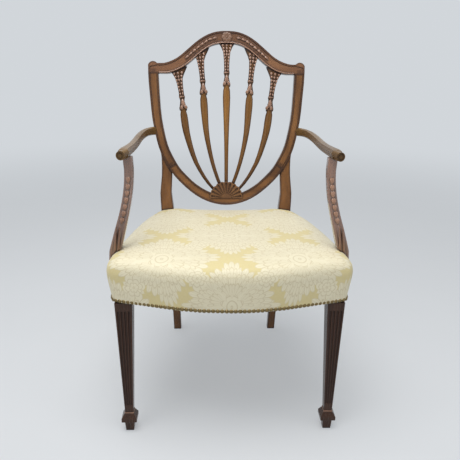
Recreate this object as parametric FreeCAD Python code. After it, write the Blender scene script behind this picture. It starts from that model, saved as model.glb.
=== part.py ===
"""Open armchair with a shield-shaped back, over-stuffed seat and tapered fluted front legs.

Millimetres. X is to the right as seen from the front, Y is to the back, Z is up. The model is
drawn on a bench frame whose Y starts at the centres of the front feet, and is moved to the
bottom centre of its box when the pieces are written.
"""
import FreeCAD, Part
import math
import os

from FreeCAD import Vector

# Joinery
GLUE_GAP = 0.1
CURVE_SAG = 0.2
FLATNESS = 1e-7
TENON_THICK = 9.0
TENON_ROOT = 6.0
SCREW_SHANK = 3.6
SCREW_HEAD = 8.0
SCREW_HEAD_HEIGHT = 3.0
SCREW_SIDES = 8

# Seat frame
RAIL_BOTTOM = 352.0
RAIL_HEIGHT = 60.0
RAIL_THICK = 26.0
RAIL_TOP = RAIL_BOTTOM + RAIL_HEIGHT
RAIL_TENON_LENGTH = 18.0
BACK_TENON_LENGTH = 14.0
RAIL_TENON_HEIGHT = 38.0
BLOCK_LEG = 52.0
BLOCK_NOSE = 8.0
BLOCK_HEIGHT = 44.0
BLOCK_DROP = 6.0
BLOCK_SCREW_LENGTH = 38.0
BLOCK_SCREW_BITE = 14.0
BLOCK_SCREW_PLACE = 22.0
BLOCK_SCREW_SPREAD = 18.0

# Front legs
FRONT_LEG_CENTRE = 252.0
FRONT_LEG_TOP = 42.0
FRONT_LEG_TOP_OUTER = 274.5
FRONT_LEG_TOP_FRONT = 0.0
FRONT_NECK = 20.5
FRONT_NECK_HEIGHT = 53.0
FRONT_COLLAR = 38.0
FRONT_COLLAR_BOTTOM = 26.0
FRONT_TOE_TOP = 24.0
FRONT_TOE_BOTTOM = 20.0
FLUTES = 4
FLUTE_FIELD = 0.86
FLUTE_SHARE = 0.68
FLUTE_END = 22.0

# Rear legs below the seat: share of the height, centre from the middle, width, front face, depth
REAR_LEG_BELOW = [
    (0.0, 162.0, 24.5, 518.0, 25.0),
    (0.256, 163.0, 25.0, 497.5, 26.0),
    (0.511, 166.5, 26.5, 476.0, 28.0),
    (0.767, 172.0, 29.0, 456.0, 30.0),
]
# Rear legs from the rails upwards: height above the rails' underside, then as above
REAR_LEG_ABOVE = [
    (0.0, 177.5, 33.0, 444.5, 31.5),
    (60.0, 180.0, 36.0, 441.0, 32.0),
    (105.0, 180.5, 37.0, 443.5, 30.0),
    (148.0, 185.0, 34.0, 460.5, 23.5),
    (200.0, 181.5, 31.5, 475.0, 16.4),
    (252.0, 184.0, 27.0, 486.7, 15.6),
    (298.0, 193.5, 21.0, 499.0, 11.5),
]
LEG_CHAMFER = 2.0
STATION_STEP = 32.0

# Shield back, drawn flat and then leaned back about its lowest point
LEAN = 12.7
SHIELD_FOOT_Y = 452.0
SHIELD_FOOT_Z = RAIL_TOP + 56.0
RIM_DEPTH = 22.0
RIM_FIELD_DEPTH = 1.8
RIM_BEAD = 5.0
RIM_BACK_CHAMFER = 3.0
STILE_TOP = 392.0
OUTER_HALF = [(0.0, -2.0), (32.0, 1.5), (67.0, 13.0), (99.0, 31.5), (131.0, 58.0), (160.0, 88.5),
              (186.0, 128.5), (205.0, 171.5), (215.5, 214.0), (222.5, 250.0), (229.5, 318.0),
              (234.0, 373.0), (234.8, 416.0)]
INNER_HALF = [(0.0, 26.5), (40.0, 33.0), (76.0, 50.0), (101.0, 68.0), (121.0, 87.0), (138.0, 105.0),
              (161.0, 141.0), (177.5, 177.0), (187.0, 213.0), (194.0, 249.0), (201.0, 318.0),
              (204.5, STILE_TOP)]
CREST_TOP_HALF = [(0.0, 515.5), (30.0, 513.2), (55.0, 505.5), (78.0, 493.0), (101.0, 475.5),
                  (125.0, 454.5), (150.0, 435.5), (174.0, 424.5), (194.0, 420.0), (208.0, 420.5)]
CREST_LOW_HALF = [(0.0, 480.5), (25.0, 479.5), (50.0, 472.0), (75.0, 455.5), (98.0, 435.5),
                  (122.0, 415.5), (148.0, 400.0), (172.0, 392.8), (192.0, 391.5),
                  (204.5, STILE_TOP)]
EAR_PEAK = (222.0, 426.0)
BOW_JOINT = (151.0, 123.0)
BOW_JOINT_SLOPE = 33.0
RIM_TENON_PLACE = 14.0
RIM_TENON_WIDTH = 14.0
RIM_TENON_LENGTH = 13.0
RIM_TENON_THICK = 8.0
RIM_TENON_ROOT = 2.0

# Splats: centre line from the fan to the crest, and the height of the carved ring
CENTRE_LINE = [(60.0, 0.0), (500.0, 0.0)]
INNER_LINE = [(58.0, 17.0), (86.0, 29.5), (141.0, 46.0), (213.0, 60.4), (284.0, 67.0), (372.0, 72.5),
              (425.0, 78.0), (475.0, 84.0)]
OUTER_LINE = [(40.0, 33.0), (68.0, 57.5), (104.5, 81.0), (141.0, 98.6), (212.5, 120.2),
              (266.0, 128.7), (325.0, 135.2), (372.0, 142.6), (420.0, 150.5)]
CENTRE_RING = 395.0
INNER_RING = 370.0
OUTER_RING = 323.0
SPLAT_STEP = 28.0
SPLAT_SET_BACK = 3.0
SPLAT_PEG = 6.0
SPLAT_PEG_LENGTH = 7.0
SPLAT_PEG_DEPTH = 6.5
PEG_ROOT = 5.0

# Fan at the foot of the splats
FAN_CENTRE_V = 19.0
FAN_RADIUS = 48.5
FAN_LOBES = 11
FAN_LOBE_SIDES = 4
FAN_LOBE_RISE = 2.8
FAN_PROUD = 1.5
FAN_DEPTH = 18.0
FAN_HUB = 14.0
FAN_FLUTE_START = 0.9
FAN_FLUTE_END = 3.2
FAN_TONGUE_WIDTH = 40.0
FAN_TONGUE_THICK = 6.0

# Arms: forward position, distance from the middle, rise over the arm's height, width, thickness
ARM_HEIGHT = 683.0
ARM_STATIONS = [
    (516.0, 212.0, 0.0, 19.0, 24.0),
    (497.0, 227.0, 1.0, 19.5, 23.0),
    (470.0, 237.5, 2.0, 20.0, 22.0),
    (425.0, 244.5, 2.0, 20.5, 21.0),
    (360.0, 248.0, 1.0, 21.0, 20.5),
    (290.0, 248.0, 0.0, 21.5, 20.5),
    (225.0, 248.0, 1.0, 22.0, 21.0),
    (170.0, 250.0, 3.0, 24.0, 22.0),
    (130.0, 251.5, 5.0, 27.0, 23.0),
    (104.0, 251.0, 6.0, 28.0, 22.0),
    (92.0, 249.0, 4.0, 22.0, 16.0),
]
SCROLL_RADIUS = 11.0
SCROLL_LENGTH = 27.0
SCROLL_X = 251.0
SCROLL_Y = 91.0
SCROLL_RISE = 5.0
SCROLL_TURN = 14.0
SCROLL_RING = 8.2
SCROLL_EYE = 4.5
SCROLL_CUT = 1.2
SCROLL_SIDES = 20
ARM_SCREW_AT = (203.5, 523.0)
ARM_SCREW_TURN = 50.3
ARM_SCREW_LENGTH = 42.0
ARM_SCREW_SINK = 12.0

# Arm supports: share of the height, distance from the middle, front-to-back place, width, depth
SUPPORT_STATIONS = [
    (0.0, 279.0, 97.0, 18.0, 27.0),
    (0.111, 281.0, 95.0, 24.0, 30.0),
    (0.228, 281.5, 91.0, 27.0, 31.0),
    (0.306, 278.5, 88.0, 28.0, 30.0),
    (0.383, 271.5, 86.0, 27.5, 28.5),
    (0.475, 263.5, 87.0, 26.0, 26.5),
    (0.583, 254.0, 91.5, 23.5, 24.5),
    (0.691, 246.5, 98.0, 22.0, 23.0),
    (0.799, 242.0, 105.0, 21.0, 22.0),
    (0.907, 240.5, 110.0, 21.0, 22.0),
    (1.0, 242.5, 112.0, 22.0, 22.5),
]
SUPPORT_FOOT_RISE = 4.0
SUPPORT_IN_ARM = 3.0
SUPPORT_PEG = 9.0
SUPPORT_PEG_ROOT = 15.0
SUPPORT_PEG_LENGTH = 22.0
SUPPORT_SCREW_Y = 96.0
SUPPORT_SCREW_RISES = (20.0, 46.0)
SUPPORT_SCREW_LENGTH = 39.0
SUPPORT_SCREW_SINK = 10.0

# Upholstery: plan of the seat's widest line, and its insets at heights above the rails' underside
SEAT_HALF = [(0.0, -58.0), (70.0, -54.0), (122.0, -44.0), (172.0, -29.0), (222.0, -13.0),
             (262.0, -3.0), (283.0, 6.0), (289.0, 22.0), (289.5, 50.0), (286.5, 105.0),
             (278.5, 170.0), (268.5, 235.0), (255.0, 308.0), (236.5, 383.0), (220.0, 428.0),
             (205.0, 461.0), (180.0, 476.0), (120.0, 480.0), (0.0, 482.0)]
SEAT_PROFILE = [(0.0, 7.0), (38.0, 2.2), (76.0, 0.0), (92.0, 3.2), (103.0, 12.0),
                (110.0, 28.0), (115.5, 62.0), (120.0, 150.0)]
SEAT_FALL = 10.0
SEAT_SAG = 1.2
ROLL_START = 84.0
ROLL_HEIGHT = 30.0
COVER_THICK = 1.8
WADDING_THICK = 6.0
WADDING_RISE = 20.0
LAYER_GAP = 0.15
WEB_WIDTH = 50.0
WEB_THICK = 1.3
WEB_LENGTHWISE = 4
WEB_CROSSWISE = 5
WEB_LIFT = 0.05
WEB_EASE = 3.0
WEB_END = 7.0
WEB_FIRST = 70.0
WEB_PITCH_ALONG = 82.0
WEB_PITCH_ACROSS = 78.0
TACK_HEAD = 6.0
TACK_HEIGHT = 0.7
TACK_SIDES = 4
HESSIAN_THICK = 0.9
HESSIAN_LEVEL = RAIL_TOP + 2 * WEB_THICK + 2 * WEB_LIFT

# Brass nails
NAIL_PITCH = 10.3
NAIL_HEAD = 9.6
NAIL_HEIGHT = 3.0
NAIL_SHOULDER = 2.0
NAIL_SHOULDER_SHARE = 0.68
NAIL_RISE = 5.5
NAIL_SIDES = 5
NAIL_SEAT = 0.05
NAIL_CLEAR = 19.0

# Cutting blocks reach this far, well past the chair
REACH = 700.0


def box(x_low, x_high, y_low, y_high, z_low, z_high):
    """Box between two corners."""
    return Part.makeBox(x_high - x_low, y_high - y_low, z_high - z_low, Vector(x_low, y_low, z_low))


def mirrored(shape):
    """The same piece for the other side of the chair."""
    return shape.mirror(Vector(0, 0, 0), Vector(1, 0, 0))


def with_mirrored(shapes):
    """Right-hand shapes followed by their mirror images."""
    return shapes + [mirrored(shape) for shape in shapes]


def largest(shape):
    """The biggest solid of a cut, without the crumbs."""
    return max(shape.Solids, key=lambda solid: solid.Volume)


def between(table, at):
    """Smooth value at a place along a table of (place, value) pairs."""
    places = [row[0] for row in table]
    if at <= places[0]:
        return table[0][1]
    if at >= places[-1]:
        return table[-1][1]
    i = max(index for index, place in enumerate(places[:-1]) if place <= at)
    slopes = []
    for k in (i, i + 1):
        low = table[max(k - 1, 0)]
        high = table[min(k + 1, len(table) - 1)]
        slopes.append((high[1] - low[1]) / (high[0] - low[0]))
    span = places[i + 1] - places[i]
    t = (at - places[i]) / span
    rise = (2 * t ** 3 - 3 * t ** 2 + 1) * table[i][1] + (3 * t ** 2 - 2 * t ** 3) * table[i + 1][1]
    bend = (t ** 3 - 2 * t ** 2 + t) * slopes[0] + (t ** 3 - t ** 2) * slopes[1]
    return rise + span * bend


def column(table, index, at):
    """Smooth value of one column of a table of stations."""
    return between(sorted((row[0], row[index]) for row in table), at)


def even_steps(places, longest):
    """The places of a table, with steps no longer than a limit between them."""
    finer = [places[0]]
    for low, high in zip(places, places[1:]):
        count = max(1, math.ceil(abs(high - low) / longest))
        finer += [low + (high - low) * k / count for k in range(1, count + 1)]
    return finer


def polygon_wire(points):
    """Closed wire through corner points."""
    return Part.makePolygon(list(points) + [points[0]])


def regular_ring(centre, along, radius, sides):
    """Corners of a regular polygon square to a direction."""
    across = along.cross(Vector(0, 1, 0)).normalize()
    other = along.cross(across).normalize()
    return [centre + across * (radius * math.cos(2 * math.pi * k / sides))
            + other * (radius * math.sin(2 * math.pi * k / sides)) for k in range(sides)]


def flat_sides(corners):
    """Three or four corners as one flat side, or as two where they don't lie in a plane."""
    a, b, c, d = corners[0], corners[1], corners[2], corners[-1]
    normal = (b - a).cross(c - a)
    if abs(normal.dot(d - a)) <= FLATNESS * normal.Length:
        return [Part.Face(polygon_wire(corners))]
    return [Part.Face(polygon_wire([a, b, c])), Part.Face(polygon_wire([a, c, d]))]


def faceted(rings):
    """Solid with flat sides through rings of corners; a ring of one corner is a point."""
    faces = [Part.Face(polygon_wire(ring)) for ring in (rings[0], rings[-1]) if len(ring) > 1]
    for low, high in zip(rings, rings[1:]):
        for i in range(max(len(low), len(high))):
            side = [low[i - 1], low[i]] if len(low) > 1 else [low[0]]
            side += [high[i], high[i - 1]] if len(high) > 1 else [high[0]]
            faces += flat_sides(side)
    return Part.Solid(Part.Shell(faces))


def gouge(start, end, start_radius, end_radius):
    """Six-sided cutter of a flute that widens from its start to its end, pointed at both."""
    along = (end - start).normalize()
    return faceted([[start - along * start_radius],
                    regular_ring(start, along, start_radius, 6),
                    regular_ring(end, along, end_radius, 6),
                    [end + along * end_radius]])


def both_halves(points):
    """Points of a symmetrical line from its left end to its right end."""
    return [(-u, v) for u, v in reversed(points) if u > 0] + list(points)


def set_over(points, distance):
    """Points moved square to their line, to the left of its direction."""
    moved = []
    for i, (u, v) in enumerate(points):
        before = points[max(i - 1, 0)]
        after = points[min(i + 1, len(points) - 1)]
        length = math.hypot(after[0] - before[0], after[1] - before[1])
        moved.append((u - distance * (after[1] - before[1]) / length,
                      v + distance * (after[0] - before[0]) / length))
    return moved


def flat(point, depth=0.0):
    """A point of the flat shield drawing: across, up, and depth behind its face."""
    return Vector(point[0], depth, point[1])


def traced(points):
    """Corners close along the smooth line through points of the shield drawing."""
    curve = Part.BSplineCurve()
    curve.interpolate([flat(point) for point in points])
    return curve.toShape().discretize(Deflection=CURVE_SAG)


def flat_plate(corners, depth):
    """Plate cut to a closed outline of the shield drawing, from its face backwards."""
    return Part.Face(polygon_wire(corners)).extrude(Vector(0, depth, 0))


def lean_back(shape):
    """The flat shield drawing set up on the chair."""
    placed = shape.copy()
    placed.rotate(Vector(0, 0, 0), Vector(1, 0, 0), -LEAN)
    placed.translate(Vector(0, SHIELD_FOOT_Y, SHIELD_FOOT_Z))
    return placed


def seat_outline():
    """Corners along the seat's widest line: its drawn points, and more where it bends tightly."""
    left = [(-x, y) for x, y in reversed(SEAT_HALF) if x > 0]
    curve = Part.BSplineCurve()
    curve.interpolate([Vector(x, y, 0) for x, y in SEAT_HALF + left], PeriodicFlag=True)
    knots = curve.getKnots()
    corners = []
    for low, high in zip(knots, knots[1:]):
        start, middle = curve.value(low), curve.value((low + high) / 2)
        bend = middle.distanceToLine(start, curve.value(high) - start)
        corners += [start, middle] if bend > SEAT_SAG else [start]
    return corners


def seat_corners(inset, height, fall=0.0):
    """Outline of the seat, drawn in by an inset, at a height that falls from front to back."""
    middle_y = (SEAT_HALF[0][1] + SEAT_HALF[-1][1]) / 2
    half_depth = (SEAT_HALF[-1][1] - SEAT_HALF[0][1]) / 2
    half_width = max(x for x, y in SEAT_HALF)
    corners = []
    for corner in seat_outline():
        x = corner.x * (1 - inset / half_width)
        y = middle_y + (corner.y - middle_y) * (1 - inset / half_depth)
        corners.append(Vector(x, y, height - fall * (y - SEAT_HALF[0][1]) / (2 * half_depth)))
    return corners


def seat_prism(inset, low, high):
    """Upright block with the seat's outline."""
    return Part.Face(polygon_wire(seat_corners(inset, low))).extrude(Vector(0, 0, high - low))


def seat_form(shrink, bottom_rise):
    """The crowned seat from a level upwards, made smaller all over by a thickness."""
    levels = [seat_corners(between(SEAT_PROFILE, bottom_rise) + shrink, RAIL_BOTTOM + bottom_rise)]
    for rise, inset in SEAT_PROFILE:
        if rise > bottom_rise:
            turn = max(0.0, min(1.0, (rise - ROLL_START) / ROLL_HEIGHT))
            levels.append(seat_corners(inset + shrink * (1 - turn), RAIL_BOTTOM + rise - shrink * turn,
                                       SEAT_FALL * turn))
    return faceted(levels)


def seat_edge(inset, at, crosswise):
    """Where the seat's outline crosses a level line: its right side, or its front and back."""
    outline = polygon_wire(seat_corners(inset, 0.0))
    if crosswise:
        line = Part.makeLine(Vector(0, at, 0), Vector(REACH, at, 0))
        return outline.distToShape(line)[1][0][0].x
    inside = SEAT_HALF[-1][1] / 2
    front = Part.makeLine(Vector(at, inside, 0), Vector(at, -REACH, 0))
    back = Part.makeLine(Vector(at, inside, 0), Vector(at, REACH, 0))
    return [outline.distToShape(line)[1][0][0].y for line in (front, back)]


def rail_inset():
    """How far the seat rails' outer face lies inside the widest line of the seat."""
    return SEAT_PROFILE[0][1] + COVER_THICK + LAYER_GAP


def chamfered_section(x, y, z, width, depth, cut):
    """Level rectangle with its corners taken off, given by its centre."""
    a = width / 2
    b = depth / 2
    corners = [(a - cut, -b), (a, -b + cut), (a, b - cut), (a - cut, b),
               (-a + cut, b), (-a, b - cut), (-a, -b + cut), (-a + cut, -b)]
    return [Vector(x + i, y + j, z) for i, j in corners]


def level_ring(centre, along, radius, sides):
    """Regular ring round a level direction."""
    across = Vector(-along.y, along.x, 0).normalize()
    other = along.cross(across)
    turns = [2 * math.pi * (k + 0.5) / sides for k in range(sides)]
    return [centre + across * (radius * math.cos(a)) + other * (radius * math.sin(a)) for a in turns]


def driven(head_at, direction, length, sink):
    """Countersunk screw from the centre of its head, and its hole with the way in for the head."""
    neck = head_at + direction * SCREW_HEAD_HEIGHT
    tip = head_at + direction * length
    head_ring = level_ring(head_at, direction, SCREW_HEAD / 2, SCREW_SIDES)
    shank_rings = [level_ring(at, direction, SCREW_SHANK / 2, SCREW_SIDES) for at in (neck, tip)]
    way = level_ring(head_at - direction * sink, direction, SCREW_HEAD / 2, SCREW_SIDES)
    return faceted([head_ring] + shank_rings), [faceted([way, head_ring] + shank_rings)]


def square_peg(start, direction, size, length, grow):
    """Square tenon with its root inside the piece that carries it, or its socket when grown."""
    along = Vector(direction).normalize()
    across = along.cross(Vector(0, 1, 0)).normalize()
    other = along.cross(across)
    half = size / 2 + grow
    corners = [start + across * i * half + other * j * half
               for i, j in ((1, 1), (-1, 1), (-1, -1), (1, -1))]
    return Part.Face(polygon_wire(corners)).extrude(along * (length + grow))


def make_rim():
    """The whole shield rim in one ring, with its sunk field between two beads."""
    outer = both_halves(OUTER_HALF)
    top = both_halves(CREST_TOP_HALF)
    inner = both_halves(INNER_HALF)
    low = both_halves(CREST_LOW_HALF)
    corner, dip = OUTER_HALF[-1], CREST_TOP_HALF[-1]
    ear = Part.Arc(flat(corner), flat(EAR_PEAK), flat(dip)).toShape().discretize(Deflection=CURVE_SAG)
    left_ear = [Vector(-point.x, point.y, point.z) for point in reversed(ear)]
    ring = flat_plate(traced(outer) + ear[1:-1] + traced(top)[::-1] + left_ear[1:-1], RIM_DEPTH)
    ring = ring.cut(flat_plate(traced(inner) + traced(low)[-2:0:-1], RIM_DEPTH))
    back_edges = [edge for edge in ring.Edges if edge.BoundBox.YMin > RIM_DEPTH - GLUE_GAP]
    ring = ring.makeChamfer(RIM_BACK_CHAMFER, back_edges)

    side = set_over(outer, RIM_BEAD)
    side[0] = (-corner[0] + RIM_BEAD, corner[1] - RIM_BEAD)
    side[-1] = (corner[0] - RIM_BEAD, corner[1] - RIM_BEAD)
    head = set_over(top[::-1], RIM_BEAD)
    head[0] = (dip[0], dip[1] - RIM_BEAD)
    head[-1] = (-dip[0], dip[1] - RIM_BEAD)
    channel = flat_plate(traced(side) + traced(head), RIM_FIELD_DEPTH)

    joint = (INNER_HALF[-1][0] + RIM_BEAD, STILE_TOP - RIM_BEAD)
    island_side = set_over(inner, -RIM_BEAD)
    island_side[0] = (-joint[0], joint[1])
    island_side[-1] = joint
    island_top = set_over(low, RIM_BEAD)
    island_top[0] = (-joint[0], joint[1])
    island_top[-1] = joint
    island = flat_plate(traced(island_side) + traced(island_top)[-2:0:-1], RIM_FIELD_DEPTH)
    return ring.cut(channel.cut(island))


def rim_tenon(at, direction, grow):
    """Flat tenon in the rim, standing out of a joint at a point of the shield drawing."""
    along = Vector(direction[0], 0, direction[1]).normalize()
    across = Vector(-along.z, 0, along.x)
    start = flat(at, RIM_DEPTH / 2) - along * RIM_TENON_ROOT
    half_width = RIM_TENON_WIDTH / 2 + grow
    half_thick = RIM_TENON_THICK / 2 + grow
    corners = [start + across * i * half_width + Vector(0, j * half_thick, 0)
               for i, j in ((1, 1), (-1, 1), (-1, -1), (1, -1))]
    return Part.Face(polygon_wire(corners)).extrude(along * (RIM_TENON_LENGTH + RIM_TENON_ROOT + grow))


def bow_tenon(grow):
    """Tenon of the right-hand joint between the bow and the shield's side."""
    slope = math.radians(BOW_JOINT_SLOPE)
    middle = (BOW_JOINT[0] + RIM_TENON_PLACE * math.cos(slope),
              BOW_JOINT[1] - RIM_TENON_PLACE * math.sin(slope))
    return rim_tenon(middle, (math.sin(slope), math.cos(slope)), grow)


def saw_rim(ring):
    """The rim sawn into crest, right-hand side and bow, with the tenons of its joints."""
    above = box(-REACH, REACH, -REACH, REACH, STILE_TOP, REACH)
    crest = largest(ring.common(above))
    lower = ring.cut(above)
    slope = math.radians(BOW_JOINT_SLOPE)
    inside = (BOW_JOINT[0] - 20 * math.cos(slope), BOW_JOINT[1] + 20 * math.sin(slope))
    outside = (BOW_JOINT[0] + 60 * math.cos(slope), BOW_JOINT[1] - 60 * math.sin(slope))
    corners = [inside, outside, (REACH, outside[1]), (REACH, REACH), (inside[0], REACH)]
    side_half = Part.Face(polygon_wire([flat(corner, -REACH) for corner in corners])).extrude(
        Vector(0, 2 * REACH, 0))
    side = largest(lower.common(side_half))
    bow = largest(lower.cut(side_half).cut(mirrored(side_half)))
    bow = bow.fuse(with_mirrored([bow_tenon(0.0)]))
    side = side.cut(bow_tenon(GLUE_GAP))
    head = ((INNER_HALF[-1][0] + OUTER_HALF[-2][0]) / 2, STILE_TOP)
    side = side.fuse(rim_tenon(head, (0, 1), 0.0))
    crest = crest.cut(with_mirrored([rim_tenon(head, (0, 1), GLUE_GAP)]))
    return crest, side, bow


def splat_widths(ring, top):
    """Width and thickness of a splat along its height: foot, blade, bell, ring and head."""
    return [
        (ring - 340.0, 11.0, 10.0),
        (ring - 290.0, 11.2, 10.0),
        (ring - 220.0, 13.0, 10.5),
        (ring - 150.0, 17.0, 11.5),
        (ring - 105.0, 20.5, 12.5),
        (ring - 72.0, 22.5, 13.0),
        (ring - 52.0, 21.0, 12.5),
        (ring - 42.0, 16.5, 11.0),
        (ring - 39.0, 22.5, 13.5),
        (ring - 33.0, 23.0, 13.5),
        (ring - 24.0, 18.0, 12.0),
        (ring - 12.0, 13.0, 10.5),
        (ring - 6.0, 14.5, 11.5),
        (ring - 3.0, 17.5, 13.5),
        (ring + 3.0, 18.0, 13.5),
        (ring + 6.0, 16.0, 11.5),
        (ring + 0.45 * (top - ring), 21.5, 12.0),
        (ring + 0.72 * (top - ring), 26.0, 12.5),
        (ring + 0.88 * (top - ring), 36.0, 13.0),
        (top + 14.0, 62.0, 13.0),
    ]


def splat_section(u, v, width, thick):
    """Level section of a splat: a ridge down its face, rounded shoulders and a flat back."""
    face = SPLAT_SET_BACK
    corners = [(0.0, face), (0.27 * width, face + 0.12 * thick), (0.5 * width, face + 0.42 * thick),
               (0.42 * width, face + thick), (-0.42 * width, face + thick),
               (-0.5 * width, face + 0.42 * thick), (-0.27 * width, face + 0.12 * thick)]
    return [Vector(u + i, j, v) for i, j in corners]


def make_splat(line, ring, foot, top):
    """One splat in the shield drawing, still too long at both ends."""
    table = splat_widths(ring, top)
    stations = [foot] + [row[0] for row in table if row[0] > foot + SPLAT_STEP / 2]
    sections = [splat_section(between(line, v), v, column(table, 1, v), column(table, 2, v))
                for v in even_steps(stations, SPLAT_STEP)]
    return faceted(sections)


def splat_pegs(line, foot, top, grow):
    """The pegs at the foot and the head of a splat, in the shield drawing."""
    depth = SPLAT_SET_BACK + SPLAT_PEG_DEPTH
    pegs = []
    for v, step in ((foot, PEG_ROOT), (top, -PEG_ROOT)):
        here = flat((between(line, v), v), depth)
        inward = flat((between(line, v + 2 * step), v + 2 * step), depth) - here
        start = here + inward.normalize() * PEG_ROOT
        pegs.append(square_peg(start, here - start, SPLAT_PEG, PEG_ROOT + SPLAT_PEG_LENGTH, grow))
    return pegs


def make_fan():
    """Half-round fan: scalloped edge, and a flute that widens up the middle of each lobe."""
    sides = FAN_LOBES * FAN_LOBE_SIDES
    corners = []
    for i in range(sides + 1):
        angle = math.pi * (1 - i / sides)
        radius = FAN_RADIUS + FAN_LOBE_RISE * abs(math.sin(math.pi * i / FAN_LOBE_SIDES))
        corners.append(flat((radius * math.cos(angle), FAN_CENTRE_V + radius * math.sin(angle)),
                            -FAN_PROUD))
    fan = flat_plate(corners, FAN_DEPTH + FAN_PROUD)
    cutters = []
    for i in range(FAN_LOBES):
        angle = math.pi * (1 - (i + 0.5) / FAN_LOBES)
        along = Vector(math.cos(angle), 0, math.sin(angle))
        hub = flat((0, FAN_CENTRE_V), -FAN_PROUD)
        cutters.append(gouge(hub + along * FAN_HUB, hub + along * (FAN_RADIUS - FAN_FLUTE_END),
                             FAN_FLUTE_START, FAN_FLUTE_END))
    return largest(fan.cut(cutters))


def fan_tongue(grow):
    """Tongue under the fan that stands in a groove of the bow, or the groove when grown."""
    half_width = FAN_TONGUE_WIDTH / 2 + grow
    middle = RIM_DEPTH / 2
    half_thick = FAN_TONGUE_THICK / 2 + grow
    return box(-half_width, half_width, middle - half_thick, middle + half_thick,
               FAN_CENTRE_V - grow, FAN_CENTRE_V + FAN_HUB)


def rear_leg_table():
    """Stations of the rear leg with their heights above the floor."""
    below = [(share * RAIL_BOTTOM, *rest) for share, *rest in REAR_LEG_BELOW]
    above = [(rise + RAIL_BOTTOM, *rest) for rise, *rest in REAR_LEG_ABOVE]
    return below + above


def rear_leg_blank():
    """Right rear leg and post, from the floor to behind the shield's side."""
    table = rear_leg_table()
    sections = []
    for z in even_steps([row[0] for row in table], STATION_STEP):
        x, width, front, depth = [column(table, index, z) for index in (1, 2, 3, 4)]
        sections.append(chamfered_section(x, front + depth / 2, z, width, depth, LEG_CHAMFER))
    return faceted(sections)


def front_leg_right():
    """Right front leg: toe, collar, fluted taper and the block inside the seat."""
    leg_in = FRONT_LEG_TOP_OUTER - FRONT_LEG_TOP
    leg_back = FRONT_LEG_TOP_FRONT + FRONT_LEG_TOP
    top_x = FRONT_LEG_TOP_OUTER - FRONT_LEG_TOP / 2
    top_y = FRONT_LEG_TOP_FRONT + FRONT_LEG_TOP / 2

    def square(x, y, z, size):
        return chamfered_section(x, y, z, size, size, 0.03 * size)

    centre = FRONT_LEG_CENTRE
    bottom = FRONT_COLLAR_BOTTOM
    toe = faceted([square(centre, 0, 0, FRONT_TOE_BOTTOM), square(centre, 0, bottom, FRONT_TOE_TOP)])
    collar_levels = [(bottom, 0.74 * FRONT_COLLAR), (bottom + 4.0, FRONT_COLLAR),
                     (bottom + 13.0, FRONT_COLLAR), (bottom + 16.0, 0.87 * FRONT_COLLAR),
                     (FRONT_NECK_HEIGHT - 7.0, 0.79 * FRONT_COLLAR), (FRONT_NECK_HEIGHT, FRONT_NECK)]
    collar = faceted([square(centre, 0, z, size) for z, size in collar_levels])
    shaft = faceted([square(centre, 0, FRONT_NECK_HEIGHT, FRONT_NECK),
                     square(top_x, top_y, RAIL_BOTTOM, FRONT_LEG_TOP)])
    shaft = largest(shaft.cut(flutes(0, top_x, top_y) + flutes(1, top_x, top_y)))
    block = box(leg_in, REACH, -REACH, leg_back, RAIL_BOTTOM, RAIL_TOP)
    block = block.common(seat_prism(rail_inset(), RAIL_BOTTOM, RAIL_TOP))
    return toe.fuse([collar, shaft, block]).removeSplitter()


def flutes(turn, top_x, top_y):
    """Cutters of the tapered flutes of the front face, or with turn 1 those of the outer face."""
    rise = RAIL_BOTTOM - FRONT_NECK_HEIGHT
    cutters = []
    for i in range(FLUTES):
        ends = []
        radii = []
        for share in (FLUTE_END / rise, 1 - FLUTE_END / rise):
            size = FRONT_NECK + (FRONT_LEG_TOP - FRONT_NECK) * share
            x = FRONT_LEG_CENTRE + (top_x - FRONT_LEG_CENTRE) * share
            y = top_y * share
            z = FRONT_NECK_HEIGHT + rise * share
            shift = ((i + 0.5) / FLUTES - 0.5) * size * FLUTE_FIELD
            on_outer = Vector(x + size / 2, y + shift, z)
            on_front = Vector(x + shift, y - size / 2, z)
            ends.append(on_outer if turn else on_front)
            radii.append(size * FLUTE_FIELD / FLUTES * FLUTE_SHARE / 2)
        cutters.append(gouge(ends[0], ends[1], radii[0], radii[1]))
    return cutters


def make_rails(rear_leg):
    """Front rail, right side rail and back rail, cut to the legs."""
    ring = seat_prism(rail_inset(), RAIL_BOTTOM, RAIL_TOP)
    ring = ring.cut(seat_prism(rail_inset() + RAIL_THICK, RAIL_BOTTOM - 1, RAIL_TOP + 1))
    leg_in = FRONT_LEG_TOP_OUTER - FRONT_LEG_TOP
    leg_back = FRONT_LEG_TOP_FRONT + FRONT_LEG_TOP
    post_x, post_width, post_front = [column(rear_leg_table(), k, RAIL_TOP) for k in (1, 2, 3)]
    post_in = post_x - post_width / 2
    front = ring.common(box(-leg_in, leg_in, -REACH, leg_back + RAIL_THICK, 0, REACH))
    side = ring.common(box(0, REACH, leg_back, post_front + LEG_CHAMFER * 2, 0, REACH))
    back = ring.common(box(-post_in, post_in, post_front - RAIL_THICK, REACH, 0, REACH))
    return largest(front), largest(side.cut(rear_leg)), largest(back.cut(with_mirrored([rear_leg])))


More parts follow.
